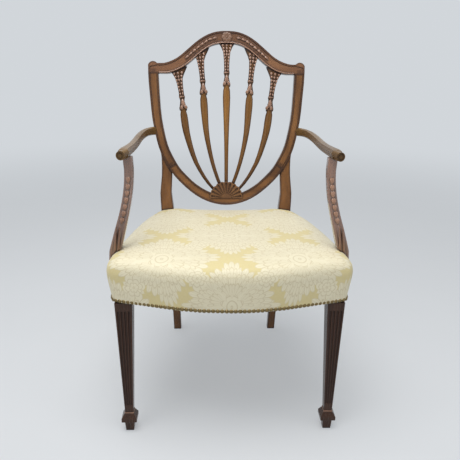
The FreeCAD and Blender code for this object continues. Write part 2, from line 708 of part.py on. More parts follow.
def rail_tenons(grow):
    """Right-hand tenons: front rail, side rail at both ends, back rail; sockets when grown."""
    z_low = RAIL_BOTTOM + (RAIL_HEIGHT - RAIL_TENON_HEIGHT) / 2 - grow
    z_high = z_low + RAIL_TENON_HEIGHT + 2 * grow
    leg_in = FRONT_LEG_TOP_OUTER - FRONT_LEG_TOP
    leg_back = FRONT_LEG_TOP_FRONT + FRONT_LEG_TOP
    post_x, post_width, post_front = [column(rear_leg_table(), k, RAIL_TOP) for k in (1, 2, 3)]
    post_in = post_x - post_width / 2
    rail_middle = rail_inset() + RAIL_THICK / 2
    rail_inner = rail_inset() + RAIL_THICK
    half = TENON_THICK / 2 + grow
    front_y = seat_edge(rail_middle, leg_in, False)[0]
    side_x = seat_edge(rail_middle, leg_back, True)
    rear_x = (seat_edge(rail_inner, post_front, True) + post_x + post_width / 2) / 2
    back_y = seat_edge(rail_middle, post_in, False)[1]
    return [
        box(leg_in - TENON_ROOT, leg_in + RAIL_TENON_LENGTH + grow, front_y - half, front_y + half,
            z_low, z_high),
        box(side_x - half, side_x + half, leg_back - RAIL_TENON_LENGTH - grow, leg_back + TENON_ROOT,
            z_low, z_high),
        box(rear_x - half, rear_x + half, post_front - TENON_ROOT, post_front + RAIL_TENON_LENGTH + grow,
            z_low, z_high),
        box(post_in - TENON_ROOT, post_in + BACK_TENON_LENGTH + grow, back_y - half, back_y + half,
            z_low, z_high),
    ]


def arm_section(at, direction, width, thick):
    """Upright section of an arm, square to its run: rounded top, nearly flat underside."""
    across = Vector(direction.y, -direction.x, 0).normalize()
    shape = [(-0.36, -0.5), (0.36, -0.5), (0.5, -0.34), (0.5, 0.12), (0.34, 0.40), (0.0, 0.5),
             (-0.34, 0.40), (-0.5, 0.12), (-0.5, -0.34)]
    return [at + across * i * width + Vector(0, 0, j * thick) for i, j in shape]


def arm_blank():
    """Right arm from inside the shield's side to its scroll."""
    table = ARM_STATIONS
    places = even_steps([row[0] for row in table], STATION_STEP)
    points = [Vector(column(table, 1, y), y, ARM_HEIGHT + column(table, 2, y)) for y in places]
    sections = []
    for i, y in enumerate(places):
        run = points[min(i + 1, len(points) - 1)] - points[max(i - 1, 0)]
        sections.append(arm_section(points[i], run, column(table, 3, y), column(table, 4, y)))
    arm = faceted(sections)
    turn = math.radians(SCROLL_TURN)
    axis = Vector(math.sin(turn), -math.cos(turn), 0)
    middle = Vector(SCROLL_X, SCROLL_Y, ARM_HEIGHT + SCROLL_RISE)
    back, front = middle - axis * (SCROLL_LENGTH / 2), middle + axis * (SCROLL_LENGTH / 2)

    def drum(start, end, radius):
        return faceted([level_ring(at, axis, radius, SCROLL_SIDES) for at in (start, end)])

    floor = front - axis * SCROLL_CUT
    ring = drum(floor, front, SCROLL_RING).cut(drum(floor, front, SCROLL_EYE))
    return largest(arm.fuse(drum(back, front, SCROLL_RADIUS)).cut(ring))


def support_point(share):
    """Centre of the right arm support at a share of its height."""
    low = RAIL_BOTTOM + SUPPORT_FOOT_RISE
    high = ARM_HEIGHT - SUPPORT_IN_ARM
    return Vector(column(SUPPORT_STATIONS, 1, share), column(SUPPORT_STATIONS, 2, share),
                  low + (high - low) * share)


def support_blank():
    """Right arm support, from the seat rail to inside the arm: a long S with a moulded face."""
    table = SUPPORT_STATIONS
    longest = STATION_STEP / (ARM_HEIGHT - RAIL_BOTTOM)
    sections = []
    for share in even_steps([row[0] for row in table], longest):
        centre = support_point(share)
        a = column(table, 3, share) / 2
        b = column(table, 4, share) / 2
        shape = [(-a, 0.75 * -b), (-0.72 * a, 0.94 * -b), (-0.4 * a, 0.87 * -b), (0.0, -b),
                 (0.4 * a, 0.87 * -b), (0.72 * a, 0.94 * -b), (a, 0.75 * -b), (a, 0.75 * b),
                 (0.6 * a, b), (-0.6 * a, b), (-a, 0.75 * b)]
        sections.append([centre + Vector(i, j, 0) for i, j in shape])
    return faceted(sections)


def corner_block(corners, neighbours):
    """Glued block in a corner of the seat frame, cut to what it is glued against."""
    high = RAIL_TOP - BLOCK_DROP
    low = high - BLOCK_HEIGHT
    blank = Part.Face(polygon_wire([Vector(x, y, low) for x, y in corners]))
    blank = blank.extrude(Vector(0, 0, BLOCK_HEIGHT))
    blank = blank.common(seat_prism(rail_inset() + RAIL_THICK, low, high))
    return largest(blank.cut(neighbours))


def block_screw(rail_face, direction, level):
    """Screw through a corner block into the rail behind it, and its hole."""
    middle = RAIL_TOP - BLOCK_DROP - BLOCK_HEIGHT / 2
    at = Vector(rail_face[0], rail_face[1], middle + level * BLOCK_SCREW_SPREAD / 2)
    head_at = at - direction * (BLOCK_SCREW_LENGTH - BLOCK_SCREW_BITE)
    return driven(head_at, direction, BLOCK_SCREW_LENGTH, BLOCK_LEG)


def strap(ends, middles, upper, place, along_y):
    """Web that runs from end to end over or under the webs that it crosses."""
    profile = [(ends[0], 0.0)]
    for middle, above in zip(middles, upper):
        level = WEB_THICK + WEB_LIFT if above else 0.0
        profile.append((middle - WEB_WIDTH / 2 - WEB_EASE, level))
        profile.append((middle + WEB_WIDTH / 2 + WEB_EASE, level))
    profile.append((ends[1], 0.0))
    low = [(run, RAIL_TOP + level) for run, level in profile]
    outline = low + [(run, z + WEB_THICK) for run, z in reversed(low)]
    side = place - WEB_WIDTH / 2
    if along_y:
        wire = polygon_wire([Vector(side, run, z) for run, z in outline])
        return Part.Face(wire).extrude(Vector(WEB_WIDTH, 0, 0))
    wire = polygon_wire([Vector(run, side, z) for run, z in outline])
    return Part.Face(wire).extrude(Vector(0, WEB_WIDTH, 0))


def tack(x, y):
    """Flat head of a tack on the end of a web."""
    ring = regular_ring(Vector(x, y, RAIL_TOP + WEB_THICK), Vector(0, 0, 1), TACK_HEAD / 2, TACK_SIDES)
    return Part.Face(polygon_wire(ring)).extrude(Vector(0, 0, TACK_HEIGHT))


def make_webbing():
    """Interlaced webs on top of the rails, and the tacks at their ends."""
    webs = []
    tacks = []
    inset = rail_inset() + WEB_END
    along = [(i - (WEB_LENGTHWISE - 1) / 2) * WEB_PITCH_ACROSS for i in range(WEB_LENGTHWISE)]
    across = [WEB_FIRST + j * WEB_PITCH_ALONG for j in range(WEB_CROSSWISE)]
    for i, x in enumerate(along):
        ends = seat_edge(inset, x, False)
        upper = [(i + j) % 2 == 0 for j in range(WEB_CROSSWISE)]
        webs.append(strap(ends, across, upper, x, True))
        tacks += [tack(x + side * WEB_WIDTH / 3, end - turn * WEB_END)
                  for end, turn in zip(ends, (-1, 1)) for side in (-1, 0, 1)]
    for j, y in enumerate(across):
        reach = seat_edge(inset, y, True)
        upper = [(i + j) % 2 == 1 for i in range(WEB_LENGTHWISE)]
        webs.append(strap((-reach, reach), along, upper, y, False))
        tacks += [tack(turn * (reach - WEB_END), y + side * WEB_WIDTH / 3)
                  for turn in (-1, 1) for side in (-1, 0, 1)]
    return Part.makeCompound(webs), Part.makeCompound(tacks)


def nail_head():
    """Domed head of a brass nail with its flat side down at the origin."""
    up = Vector(0, 0, 1)
    return faceted([regular_ring(Vector(0, 0, 0), up, NAIL_HEAD / 2, NAIL_SIDES),
                    regular_ring(up * NAIL_SHOULDER, up, NAIL_HEAD / 2 * NAIL_SHOULDER_SHARE, NAIL_SIDES),
                    [up * NAIL_HEIGHT]])


def make_nails(posts_front):
    """Close row of brass nails along the front and both sides, interrupted at the supports."""
    outline = polygon_wire(seat_corners(between(SEAT_PROFILE, NAIL_RISE), RAIL_BOTTOM + NAIL_RISE))
    slope = (SEAT_PROFILE[0][1] - SEAT_PROFILE[1][1]) / (SEAT_PROFILE[1][0] - SEAT_PROFILE[0][0])
    count = round(outline.Length / NAIL_PITCH)
    places = outline.discretize(Number=count + 1)[:-1]
    head = nail_head()
    nails = []
    for k, at in enumerate(places):
        along = (places[(k + 1) % count] - places[k - 1]).normalize()
        outward = Vector(along.y, -along.x, -slope).normalize()
        beside_support = abs(at.y - SUPPORT_SCREW_Y) < NAIL_CLEAR and abs(at.x) > FRONT_LEG_CENTRE
        if at.y < posts_front and not beside_support:
            nail = head.copy()
            nail.Placement = FreeCAD.Placement(at + outward * NAIL_SEAT,
                                               FreeCAD.Rotation(Vector(0, 0, 1), outward))
            nails.append(nail)
    return Part.makeCompound(nails)


parts = {}


def keep(name, shape):
    """File a finished piece under its name."""
    parts[name] = shape


def keep_pair(name, shape):
    """File a right-hand piece and its mirror image."""
    parts[name + "_right"] = shape
    parts[name + "_left"] = mirrored(shape)


# The shield: rim, fan and splats, drawn flat
plain_crest, shield_side, bow = saw_rim(make_rim())
plain_fan = largest(make_fan().cut(bow))
crest = plain_crest
fan = plain_fan.fuse(fan_tongue(0.0))
bow = largest(bow.cut(fan_tongue(GLUE_GAP)))
for name, line, ring, foot, foot_seat, top in (
        ("splat_centre", CENTRE_LINE, CENTRE_RING, 58.0, 68.5, 480.0),
        ("splat_inner", INNER_LINE, INNER_RING, 54.0, 65.5, 454.0),
        ("splat_outer", OUTER_LINE, OUTER_RING, 42.0, 54.0, 399.0)):
    splat = largest(make_splat(line, ring, foot, top).cut([plain_crest, plain_fan]))
    splat = splat.fuse(splat_pegs(line, foot_seat, top, 0.0)).removeSplitter()
    sockets = splat_pegs(line, foot_seat, top, GLUE_GAP)
    if name == "splat_centre":
        keep(name, lean_back(splat))
    else:
        sockets = with_mirrored(sockets)
        keep_pair(name, lean_back(splat))
    crest = crest.cut(sockets)
    fan = fan.cut(sockets)
keep("crest_rail", lean_back(largest(crest)))
keep("fan_boss", lean_back(largest(fan)))
keep("lower_bow", lean_back(bow))

# Legs and seat rails
rear_leg = largest(rear_leg_blank().cut(parts["lower_bow"]))
rear_leg = largest(rear_leg.fuse(lean_back(shield_side)))
rear_leg = rear_leg.cut(lean_back(bow_tenon(GLUE_GAP)))
front_rail, side_rail, back_rail = make_rails(rear_leg)
tenons = rail_tenons(0.0)
mortises = rail_tenons(GLUE_GAP)
front_leg = front_leg_right().cut(mortises[:2])
rear_leg = rear_leg.cut(mortises[2:])
front_rail = front_rail.fuse(with_mirrored(tenons[:1])).removeSplitter()
side_rail = side_rail.fuse(tenons[1:3]).removeSplitter()
back_rail = back_rail.fuse(with_mirrored(tenons[3:])).removeSplitter()

# Arms and their supports
arm = largest(arm_blank().cut(rear_leg))
support = largest(support_blank().cut([arm, side_rail]))
peg_start = support_point(1.0) - Vector(0, 0, SUPPORT_PEG_ROOT)
support = largest(support.fuse(square_peg(peg_start, Vector(0, 0, 1), SUPPORT_PEG, SUPPORT_PEG_LENGTH, 0.0)))
arm = arm.cut(square_peg(peg_start, Vector(0, 0, 1), SUPPORT_PEG, SUPPORT_PEG_LENGTH, GLUE_GAP))
turn = math.radians(ARM_SCREW_TURN)
arm_screw, arm_hole = driven(Vector(*ARM_SCREW_AT, ARM_HEIGHT), Vector(math.cos(turn), -math.sin(turn), 0),
                             ARM_SCREW_LENGTH, ARM_SCREW_SINK)
arm = arm.cut(arm_hole)
rear_leg = rear_leg.cut(arm_hole)
support_screws = []
rail_face = seat_edge(rail_inset() + RAIL_THICK, SUPPORT_SCREW_Y, True)
for rise in SUPPORT_SCREW_RISES:
    shape, hole = driven(Vector(rail_face, SUPPORT_SCREW_Y, RAIL_BOTTOM + rise), Vector(1, 0, 0),
                         SUPPORT_SCREW_LENGTH, SUPPORT_SCREW_SINK)
    support_screws.append(shape)
    side_rail = side_rail.cut(hole)
    support = support.cut(hole)

# Corner blocks of the seat frame, each with two screws
frame_inner = rail_inset() + RAIL_THICK
leg_in = FRONT_LEG_TOP_OUTER - FRONT_LEG_TOP
leg_back = FRONT_LEG_TOP_FRONT + FRONT_LEG_TOP
post_x, post_width, post_front = [column(rear_leg_table(), k, RAIL_TOP) for k in (1, 2, 3)]
post_in = post_x - post_width / 2
front_nose = (leg_in - BLOCK_LEG, seat_edge(frame_inner, leg_in - BLOCK_LEG, False)[0] + BLOCK_NOSE)
side_nose = (seat_edge(frame_inner, leg_back + BLOCK_LEG, True) - BLOCK_NOSE, leg_back + BLOCK_LEG)
front_block = corner_block([front_nose, (front_nose[0], -REACH), (REACH, -REACH),
                            (REACH, side_nose[1]), side_nose],
                           [front_rail, side_rail, front_leg])
back_nose = (post_in - BLOCK_LEG, seat_edge(frame_inner, post_in - BLOCK_LEG, False)[1] - BLOCK_NOSE)
rear_nose = (seat_edge(frame_inner, post_front - BLOCK_LEG, True) - BLOCK_NOSE, post_front - BLOCK_LEG)
rear_block = corner_block([back_nose, rear_nose, (REACH, rear_nose[1]), (REACH, REACH),
                           (back_nose[0], REACH)],
                          [side_rail, back_rail, rear_leg])
front_x = leg_in - BLOCK_SCREW_PLACE
side_y = leg_back + BLOCK_SCREW_PLACE
back_x = post_in - BLOCK_SCREW_PLACE
rear_y = post_front - BLOCK_SCREW_PLACE
into_front, front_hole = block_screw((front_x, seat_edge(frame_inner, front_x, False)[0]),
                                     Vector(0, -1, 0), -1)
into_side, side_hole = block_screw((seat_edge(frame_inner, side_y, True), side_y), Vector(1, 0, 0), 1)
into_back, back_hole = block_screw((back_x, seat_edge(frame_inner, back_x, False)[1]),
                                   Vector(0, 1, 0), -1)
into_rear, rear_hole = block_screw((seat_edge(frame_inner, rear_y, True), rear_y), Vector(1, 0, 0), 1)
front_block = front_block.cut(front_hole + side_hole)
rear_block = rear_block.cut(back_hole + rear_hole)
front_rail = front_rail.cut(with_mirrored(front_hole))
side_rail = side_rail.cut(side_hole + rear_hole)
back_rail = back_rail.cut(with_mirrored(back_hole))

keep_pair("front_leg", largest(front_leg))
keep_pair("rear_leg", largest(rear_leg))
keep("front_rail", largest(front_rail))
keep_pair("side_rail", largest(side_rail))
keep("back_rail", largest(back_rail))
keep_pair("arm", largest(arm))
keep_pair("arm_support", largest(support))
keep_pair("front_corner_block", largest(front_block))
keep_pair("rear_corner_block", largest(rear_block))
keep("corner_block_screws", Part.makeCompound(with_mirrored([into_front, into_side, into_back, into_rear])))
keep("arm_screws", Part.makeCompound(with_mirrored([arm_screw])))
keep("arm_support_screws", Part.makeCompound(with_mirrored(support_screws)))

# Upholstery, from the webs outwards
webs, tacks = make_webbing()
keep("webbing_straps", webs)
keep("webbing_tacks", tacks)
standing = [parts["rear_leg_right"], parts["rear_leg_left"],
            parts["arm_support_right"], parts["arm_support_left"]]
hessian = seat_prism(rail_inset() + WEB_END, HESSIAN_LEVEL, HESSIAN_LEVEL + HESSIAN_THICK)
keep("hessian_cloth", largest(hessian.cut(standing)))
under_cover = COVER_THICK + LAYER_GAP
under_wadding = under_cover + WADDING_THICK
stuffing_rise = HESSIAN_LEVEL + HESSIAN_THICK + LAYER_GAP - RAIL_BOTTOM
keep("hair_stuffing", largest(seat_form(under_wadding + LAYER_GAP, stuffing_rise).cut(standing)))
wadding = seat_form(under_cover, WADDING_RISE).cut(seat_form(under_wadding, WADDING_RISE - 1))
wadding = wadding.cut(seat_prism(rail_inset(), RAIL_BOTTOM, RAIL_TOP)).cut(standing)
keep("wadding", largest(wadding))
cover = seat_form(0.0, 0.0).cut(seat_form(COVER_THICK, -1.0))
keep("seat_cover", largest(cover.cut(standing)))
keep("brass_nails", make_nails(post_front))

# Written out with the origin at the bottom centre of the whole chair
whole = FreeCAD.BoundBox()
for shape in parts.values():
    whole.add(shape.BoundBox)
os.makedirs("parts", exist_ok=True)
for name, shape in sorted(parts.items()):
    shape.translate(Vector(0, -whole.Center.y, -whole.ZMin))
    shape.exportStep("parts/" + name + ".step")
    state = "ok" if shape.isValid() else "NOT VALID"
    print(name, state, len(shape.Solids), "solids", round(shape.Volume / 1000, 1), "cm3")
print("moved forward by", round(whole.Center.y, 3), "box", whole)
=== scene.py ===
"""Open armchair with a shield-shaped back: polished mahogany, carved splats and a damask seat."""
import math
import random

import bmesh
import bpy
from mathutils import Matrix, Vector
from mathutils.bvhtree import BVHTree


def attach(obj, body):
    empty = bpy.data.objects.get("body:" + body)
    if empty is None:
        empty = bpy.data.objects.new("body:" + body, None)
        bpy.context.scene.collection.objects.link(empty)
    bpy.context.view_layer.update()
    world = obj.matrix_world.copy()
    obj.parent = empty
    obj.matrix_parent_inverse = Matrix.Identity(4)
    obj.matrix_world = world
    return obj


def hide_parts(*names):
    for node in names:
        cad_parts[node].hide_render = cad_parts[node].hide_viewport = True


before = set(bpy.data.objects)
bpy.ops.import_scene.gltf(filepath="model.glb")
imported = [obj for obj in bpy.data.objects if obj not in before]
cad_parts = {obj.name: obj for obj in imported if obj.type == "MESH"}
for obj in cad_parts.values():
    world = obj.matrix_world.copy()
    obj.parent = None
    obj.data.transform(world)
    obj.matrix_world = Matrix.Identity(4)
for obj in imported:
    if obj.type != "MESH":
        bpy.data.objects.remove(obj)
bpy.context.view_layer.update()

# Rear legs. Each is sawn in one piece from the floor to the top of the shield's side, in mahogany,
# and its arrises are eased by a scraper. The whole is French polished, and its colour is darkened
# by painted shade in its hollows, on faces turned aside and along its arrises.
UPRIGHT_GRAIN = (55.0, 55.0, 5.0)
UPRIGHT_LIGHT = (0.310, 0.140, 0.044)
UPRIGHT_DARK = (0.085, 0.034, 0.011)
RIBBON_NOISE = (0.55, 4.0, 0.6)
PORE_NOISE = (7.0, 2.0, 0.5)
PATCH_NOISE = (0.12, 2.0)
STREAK_CONTRAST = (2.6, -0.8)
CLOUD_CONTRAST = (1.6, -0.4)
PORE_CONTRAST = (-6.0, 2.9)
STREAK_SHARE = 0.6
CLOUD_SHARE = 0.4
PORE_SHARE = 0.35
OCCLUSION_SAMPLES = 6
HOLLOW_SHADE_REACH = 0.006
HOLLOW_SHADE_CONTRAST = (-3.2, 2.85)
HOLLOW_SHADE_BROWN = (0.016, 0.006, 0.004)
SIDE_SHADE_CONTRAST = (-2.4, 2.2)
SIDE_SHADE_BROWN = (0.040, 0.016, 0.008)
ARRIS_SHADE_REACH = 0.0060
ARRIS_SHADE_CONTRAST = (-4.2, 3.85)
ARRIS_SHADE_BROWN = (0.026, 0.010, 0.006)
PORE_ROUGHNESS = (0.10, 0.25)
HOLLOW_ROUGHNESS = 0.3
COAT_ROUGHNESS = 0.16
PORE_BUMP = (0.12, 0.0002)
JOIN_DISTANCE = 0.00002
FLAT_ANGLE = math.radians(0.6)
ARRIS_ANGLE = math.radians(32)
FINE_ARRIS = 0.0003


def node(tree, kind, **settings):
    """A shader node with its settings and the values of its inputs."""
    made = tree.nodes.new(kind)
    for name, value in settings.items():
        if name.startswith("in_"):
            made.inputs[int(name[3:])].default_value = value
        else:
            setattr(made, name, value)
    return made


def sums(tree, operation, first, second=0.0, third=None, clamp=False):
    """A Math node over numbers or the outputs of other nodes; gives its output."""
    made = tree.nodes.new("ShaderNodeMath")
    made.operation = operation
    made.use_clamp = clamp
    for socket, value in zip(made.inputs, (first, second, third)):
        if value is None:
            continue
        if isinstance(value, (int, float)):
            socket.default_value = value
        else:
            tree.links.new(value, socket)
    return made.outputs[0]


def maths_of(tree):
    """The Math helper bound to one tree."""
    return lambda *parts, **settings: sums(tree, *parts, **settings)


def contrast(tree, value, slope, offset):
    """A value on a straight slope, held between 0 and 1; gives its output."""
    return sums(tree, "MULTIPLY_ADD", value, slope, offset, clamp=True)


def blended(tree, share, low, high):
    """A colour between two others; gives its output."""
    made = tree.nodes.new("ShaderNodeMix")
    made.data_type = "RGBA"
    for socket, value in ((made.inputs[0], share), (made.inputs[6], low), (made.inputs[7], high)):
        if isinstance(value, (int, float)):
            socket.default_value = value
        elif isinstance(value, tuple):
            socket.default_value = (*value[:3], 1.0)
        else:
            tree.links.new(value, socket)
    return made.outputs[2]


def noise(tree, place, scale, detail=2.0, roughness=0.5):
    """Noise over a place; gives its output."""
    made = node(tree, "ShaderNodeTexNoise", in_2=scale, in_3=detail, in_4=roughness)
    tree.links.new(place, made.inputs["Vector"])
    return made.outputs["Fac"]


def group_tree(name, inputs, outputs):
    """An empty node group with named sockets; gives the tree, its input node and its output node."""
    tree = bpy.data.node_groups.new(name, "ShaderNodeTree")
    for label, kind in inputs:
        tree.interface.new_socket(label, in_out="INPUT", socket_type="NodeSocket" + kind)
    for label, kind in outputs:
        tree.interface.new_socket(label, in_out="OUTPUT", socket_type="NodeSocket" + kind)
    return tree, tree.nodes.new("NodeGroupInput"), tree.nodes.new("NodeGroupOutput")


wood_group, wood_in, wood_out = group_tree(
    "mahogany_figure_and_shade",
    [("Vector", "Vector"), ("Light", "Color"), ("Dark", "Color"), ("Hollow Shade", "Float"),
     ("Facing", "Vector"), ("Side Shade", "Float"), ("Arris Shade", "Float")],
    [("Color", "Color"), ("Roughness", "Float"), ("Height", "Float")])
wood = maths_of(wood_group)
ribbon, pores, patches = (noise(wood_group, wood_in.outputs["Vector"], *settings)
                          for settings in (RIBBON_NOISE, PORE_NOISE, PATCH_NOISE))
streak = contrast(wood_group, ribbon, *STREAK_CONTRAST)
cloud = contrast(wood_group, patches, *CLOUD_CONTRAST)
mixed = wood("ADD", wood("MULTIPLY", streak, STREAK_SHARE), wood("MULTIPLY", cloud, CLOUD_SHARE))
timber = blended(wood_group, mixed, wood_in.outputs["Dark"], wood_in.outputs["Light"])
pore = contrast(wood_group, pores, *PORE_CONTRAST)
timber = blended(wood_group, wood("MULTIPLY", pore, PORE_SHARE), timber, wood_in.outputs["Dark"])
# Painted shade: colour darkened where ambient occlusion finds a hollow.
shade = node(wood_group, "ShaderNodeAmbientOcclusion", samples=OCCLUSION_SAMPLES, in_1=HOLLOW_SHADE_REACH)
hollow_shade_mask = wood("MULTIPLY", contrast(wood_group, shade.outputs["AO"], *HOLLOW_SHADE_CONTRAST),
              wood_in.outputs["Hollow Shade"])
timber = blended(wood_group, hollow_shade_mask, timber, HOLLOW_SHADE_BROWN)
# Painted shade: faces turned away from the Facing direction darkened.
surface = node(wood_group, "ShaderNodeNewGeometry")
facing = node(wood_group, "ShaderNodeVectorMath", operation="DOT_PRODUCT")
wood_group.links.new(surface.outputs["Normal"], facing.inputs[0])
wood_group.links.new(wood_in.outputs["Facing"], facing.inputs[1])
side_shade_mask = contrast(wood_group, wood("ABSOLUTE", facing.outputs["Value"]), *SIDE_SHADE_CONTRAST)
timber = blended(wood_group, wood("MULTIPLY", side_shade_mask, wood_in.outputs["Side Shade"]), timber, SIDE_SHADE_BROWN)
# Painted shade: colour darkened near arrises, found by occlusion from inside the wood.
arris_occlusion = node(wood_group, "ShaderNodeAmbientOcclusion", samples=OCCLUSION_SAMPLES, inside=True,
                  in_1=ARRIS_SHADE_REACH)
arris_shade_mask = contrast(wood_group, arris_occlusion.outputs["AO"], *ARRIS_SHADE_CONTRAST)
timber = blended(wood_group, wood("MULTIPLY", arris_shade_mask, wood_in.outputs["Arris Shade"]), timber,
                 ARRIS_SHADE_BROWN)
gloss = wood("MULTIPLY_ADD", pore, *PORE_ROUGHNESS)
wood_group.links.new(timber, wood_out.inputs["Color"])
wood_group.links.new(wood("ADD", gloss, wood("MULTIPLY", hollow_shade_mask, HOLLOW_ROUGHNESS)),
                     wood_out.inputs["Roughness"])
wood_group.links.new(wood("MULTIPLY", pore, -1.0), wood_out.inputs["Height"])


def material(name):
    """A new material; gives it with its tree and its shader."""
    made = bpy.data.materials.new(name)
    made.use_nodes = True
    return made, made.node_tree, made.node_tree.nodes["Principled BSDF"]


def placed_pattern(tree, scale, source="Object"):
    """Coordinates of a piece, stretched for a pattern; gives the output."""
    place = node(tree, "ShaderNodeTexCoord")
    fit = node(tree, "ShaderNodeMapping")
    fit.inputs["Scale"].default_value = scale
    tree.links.new(place.outputs[source], fit.inputs["Vector"])
    return fit.outputs["Vector"]


def raised(tree, shader, height, strength, distance):
    """Runs a height through a bump into a shader."""
    bump = node(tree, "ShaderNodeBump")
    bump.inputs["Strength"].default_value = strength
    bump.inputs["Distance"].default_value = distance
    tree.links.new(height, bump.inputs["Height"])
    tree.links.new(bump.outputs["Normal"], shader.inputs["Normal"])


def polished(name, grain, light, dark, hollow_shade=0.8, coat=0.15, facing=(0.0, 1.0, 0.0), side_shade=0.0,
             arris_shade=0.0, gleam=0.3):
    """Mahogany whose grain runs one way, under French polish, with painted shade in hollows, on sides
    and arrises.
    """
    made, tree, shader = material(name)
    figure = node(tree, "ShaderNodeGroup", node_tree=wood_group)
    tree.links.new(placed_pattern(tree, grain), figure.inputs["Vector"])
    for label, value in (("Light", (*light, 1.0)), ("Dark", (*dark, 1.0)), ("Hollow Shade", hollow_shade),
                         ("Facing", facing), ("Side Shade", side_shade), ("Arris Shade", arris_shade)):
        figure.inputs[label].default_value = value
    tree.links.new(figure.outputs["Color"], shader.inputs["Base Color"])
    tree.links.new(figure.outputs["Roughness"], shader.inputs["Roughness"])
    shader.inputs["Coat Weight"].default_value = coat
    shader.inputs["Coat Roughness"].default_value = COAT_ROUGHNESS
    shader.inputs["Specular IOR Level"].default_value = gleam
    raised(tree, shader, figure.outputs["Height"], *PORE_BUMP)
    return made


def placed_object(name, data):
    """An object of some data, put in the scene."""
    made = bpy.data.objects.new(name, data)
    bpy.context.scene.collection.objects.link(made)
    return made


def piece_from(name, mesh_maker, finish):
    """An object at the origin whose mesh a bmesh holds."""
    mesh = bpy.data.meshes.new(name)
    mesh_maker.to_mesh(mesh)
    mesh_maker.free()
    mesh.materials.append(finish)
    return placed_object(name, mesh)


def joined_solid(*names):
    """The loose triangles of some nodes joined to whole surfaces, in one bmesh."""
    solid = bmesh.new()
    for name in names:
        solid.from_mesh(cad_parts[name].data)
    bmesh.ops.remove_doubles(solid, verts=solid.verts, dist=JOIN_DISTANCE)
    bmesh.ops.dissolve_limit(solid, angle_limit=FLAT_ANGLE, verts=solid.verts, edges=solid.edges)
    for edge in solid.edges:
        edge.smooth = edge.calc_face_angle(0.0) < ARRIS_ANGLE
    for face in solid.faces:
        face.smooth = True
    return solid


def eased(made, width):
    """Rounds a piece's arrises a little, as a scraper leaves them."""
    arris = made.modifiers.new("arris", "BEVEL")
    arris.width = width
    arris.segments = 2
    arris.limit_method = "ANGLE"
    arris.angle_limit = ARRIS_ANGLE
    arris.use_clamp_overlap = True
    shading = made.modifiers.new("shading", "WEIGHTED_NORMAL")
    shading.keep_sharp = True


def fitted(made, slot, *replaced):
    """Hands a piece to the frame."""
    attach(made, "root")
    if replaced:
        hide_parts(*replaced)


def shaped(name, source, finish, width, slot="mahogany"):
    """A piece with the form of a node, its arrises eased, that takes the node's place."""
    made = piece_from(name, joined_solid(source), finish)
    eased(made, width)
    fitted(made, slot, source)


SHIELD_LEAN = math.radians(12.7)
SHIELD_FOOT = Vector((0.0, 0.187939, 0.468))
SHIELD_UP = Vector((0.0, math.sin(SHIELD_LEAN), math.cos(SHIELD_LEAN)))
SHIELD_IN = Vector((0.0, math.cos(SHIELD_LEAN), -math.sin(SHIELD_LEAN)))

upright_mahogany = polished("upright_mahogany", UPRIGHT_GRAIN, UPRIGHT_LIGHT, UPRIGHT_DARK,
                            hollow_shade=1.0, facing=SHIELD_IN, side_shade=0.5, arris_shade=0.8)
for side in ("left", "right"):
    shaped("turned_out_rear_leg_" + side, "rear_leg_" + side, upright_mahogany, FINE_ARRIS)

# Crest rail and lower bow. They close the shield between the rear legs, both sawn from thick
# mahogany with a sunk field between two beads. The crest's field is carved on each side of the
# middle with a chain of husks that starts at a round patera.
CROSS_GRAIN = (5.0, 55.0, 55.0)
CREST_LIGHT = (0.320, 0.155, 0.070)
CREST_DARK = (0.120, 0.050, 0.026)
CARVED_HIGHLIGHT_LIGHT = (0.50, 0.29, 0.19)
CARVED_HIGHLIGHT_DARK = (0.22, 0.11, 0.07)
CREST_MIDDLE_LINE = [(0.030, 0.4965), (0.055, 0.4890), (0.078, 0.4735), (0.101, 0.4545),
                     (0.125, 0.4335)]
CREST_HUSKS = 8
HUSK_LENGTH = 0.0165
HUSK_WIDTH = 0.0072
HUSK_RISE = 0.0036
HUSK_SINK = 0.0012
BUD_SIDES = 10
BUD_RINGS = 7
BUD_FOOT = 1.25
BUD_TAPER = 0.85
GROOVE_DEPTH = 0.22
GROOVE_HALF = 0.16
CARVED_HALF = 0.128
CARVED_SLOPE = 110.0
GROUND_SHADE = 0.40
GROUND_SHADE_BROWN = (0.030, 0.010, 0.007)
PATERA_LIGHT = (0.290, 0.160, 0.100)
PATERA_DARK = (0.130, 0.068, 0.042)
PATERA_PLACE = 0.498
PATERA_RADIUS = 0.0145
PATERA_PETALS = 8
PETAL_PLACE = 0.56
PETAL_SINK = 0.0008
PETAL_SIZE = (PATERA_RADIUS * 1.05, 0.0130, 0.0022)
BUTTON_PROUD = 0.0004
BUTTON_SIZE = (0.0075, 0.0080, 0.0020)


def on_shield(across, up, proud=0.0):
    """A place on the shield's front plane, or proud of it."""
    return SHIELD_FOOT + Vector((across, 0, 0)) + SHIELD_UP * up - SHIELD_IN * proud


def turned_frame(place, along, outward):
    """The matrix of a carved shape at a place, its length along one way and its top outward."""
    outward = (outward - along * outward.dot(along)).normalized()
    across = along.cross(outward)
    turn = Matrix((across, along, outward)).transposed().to_4x4()
    return Matrix.Translation(place) @ turn


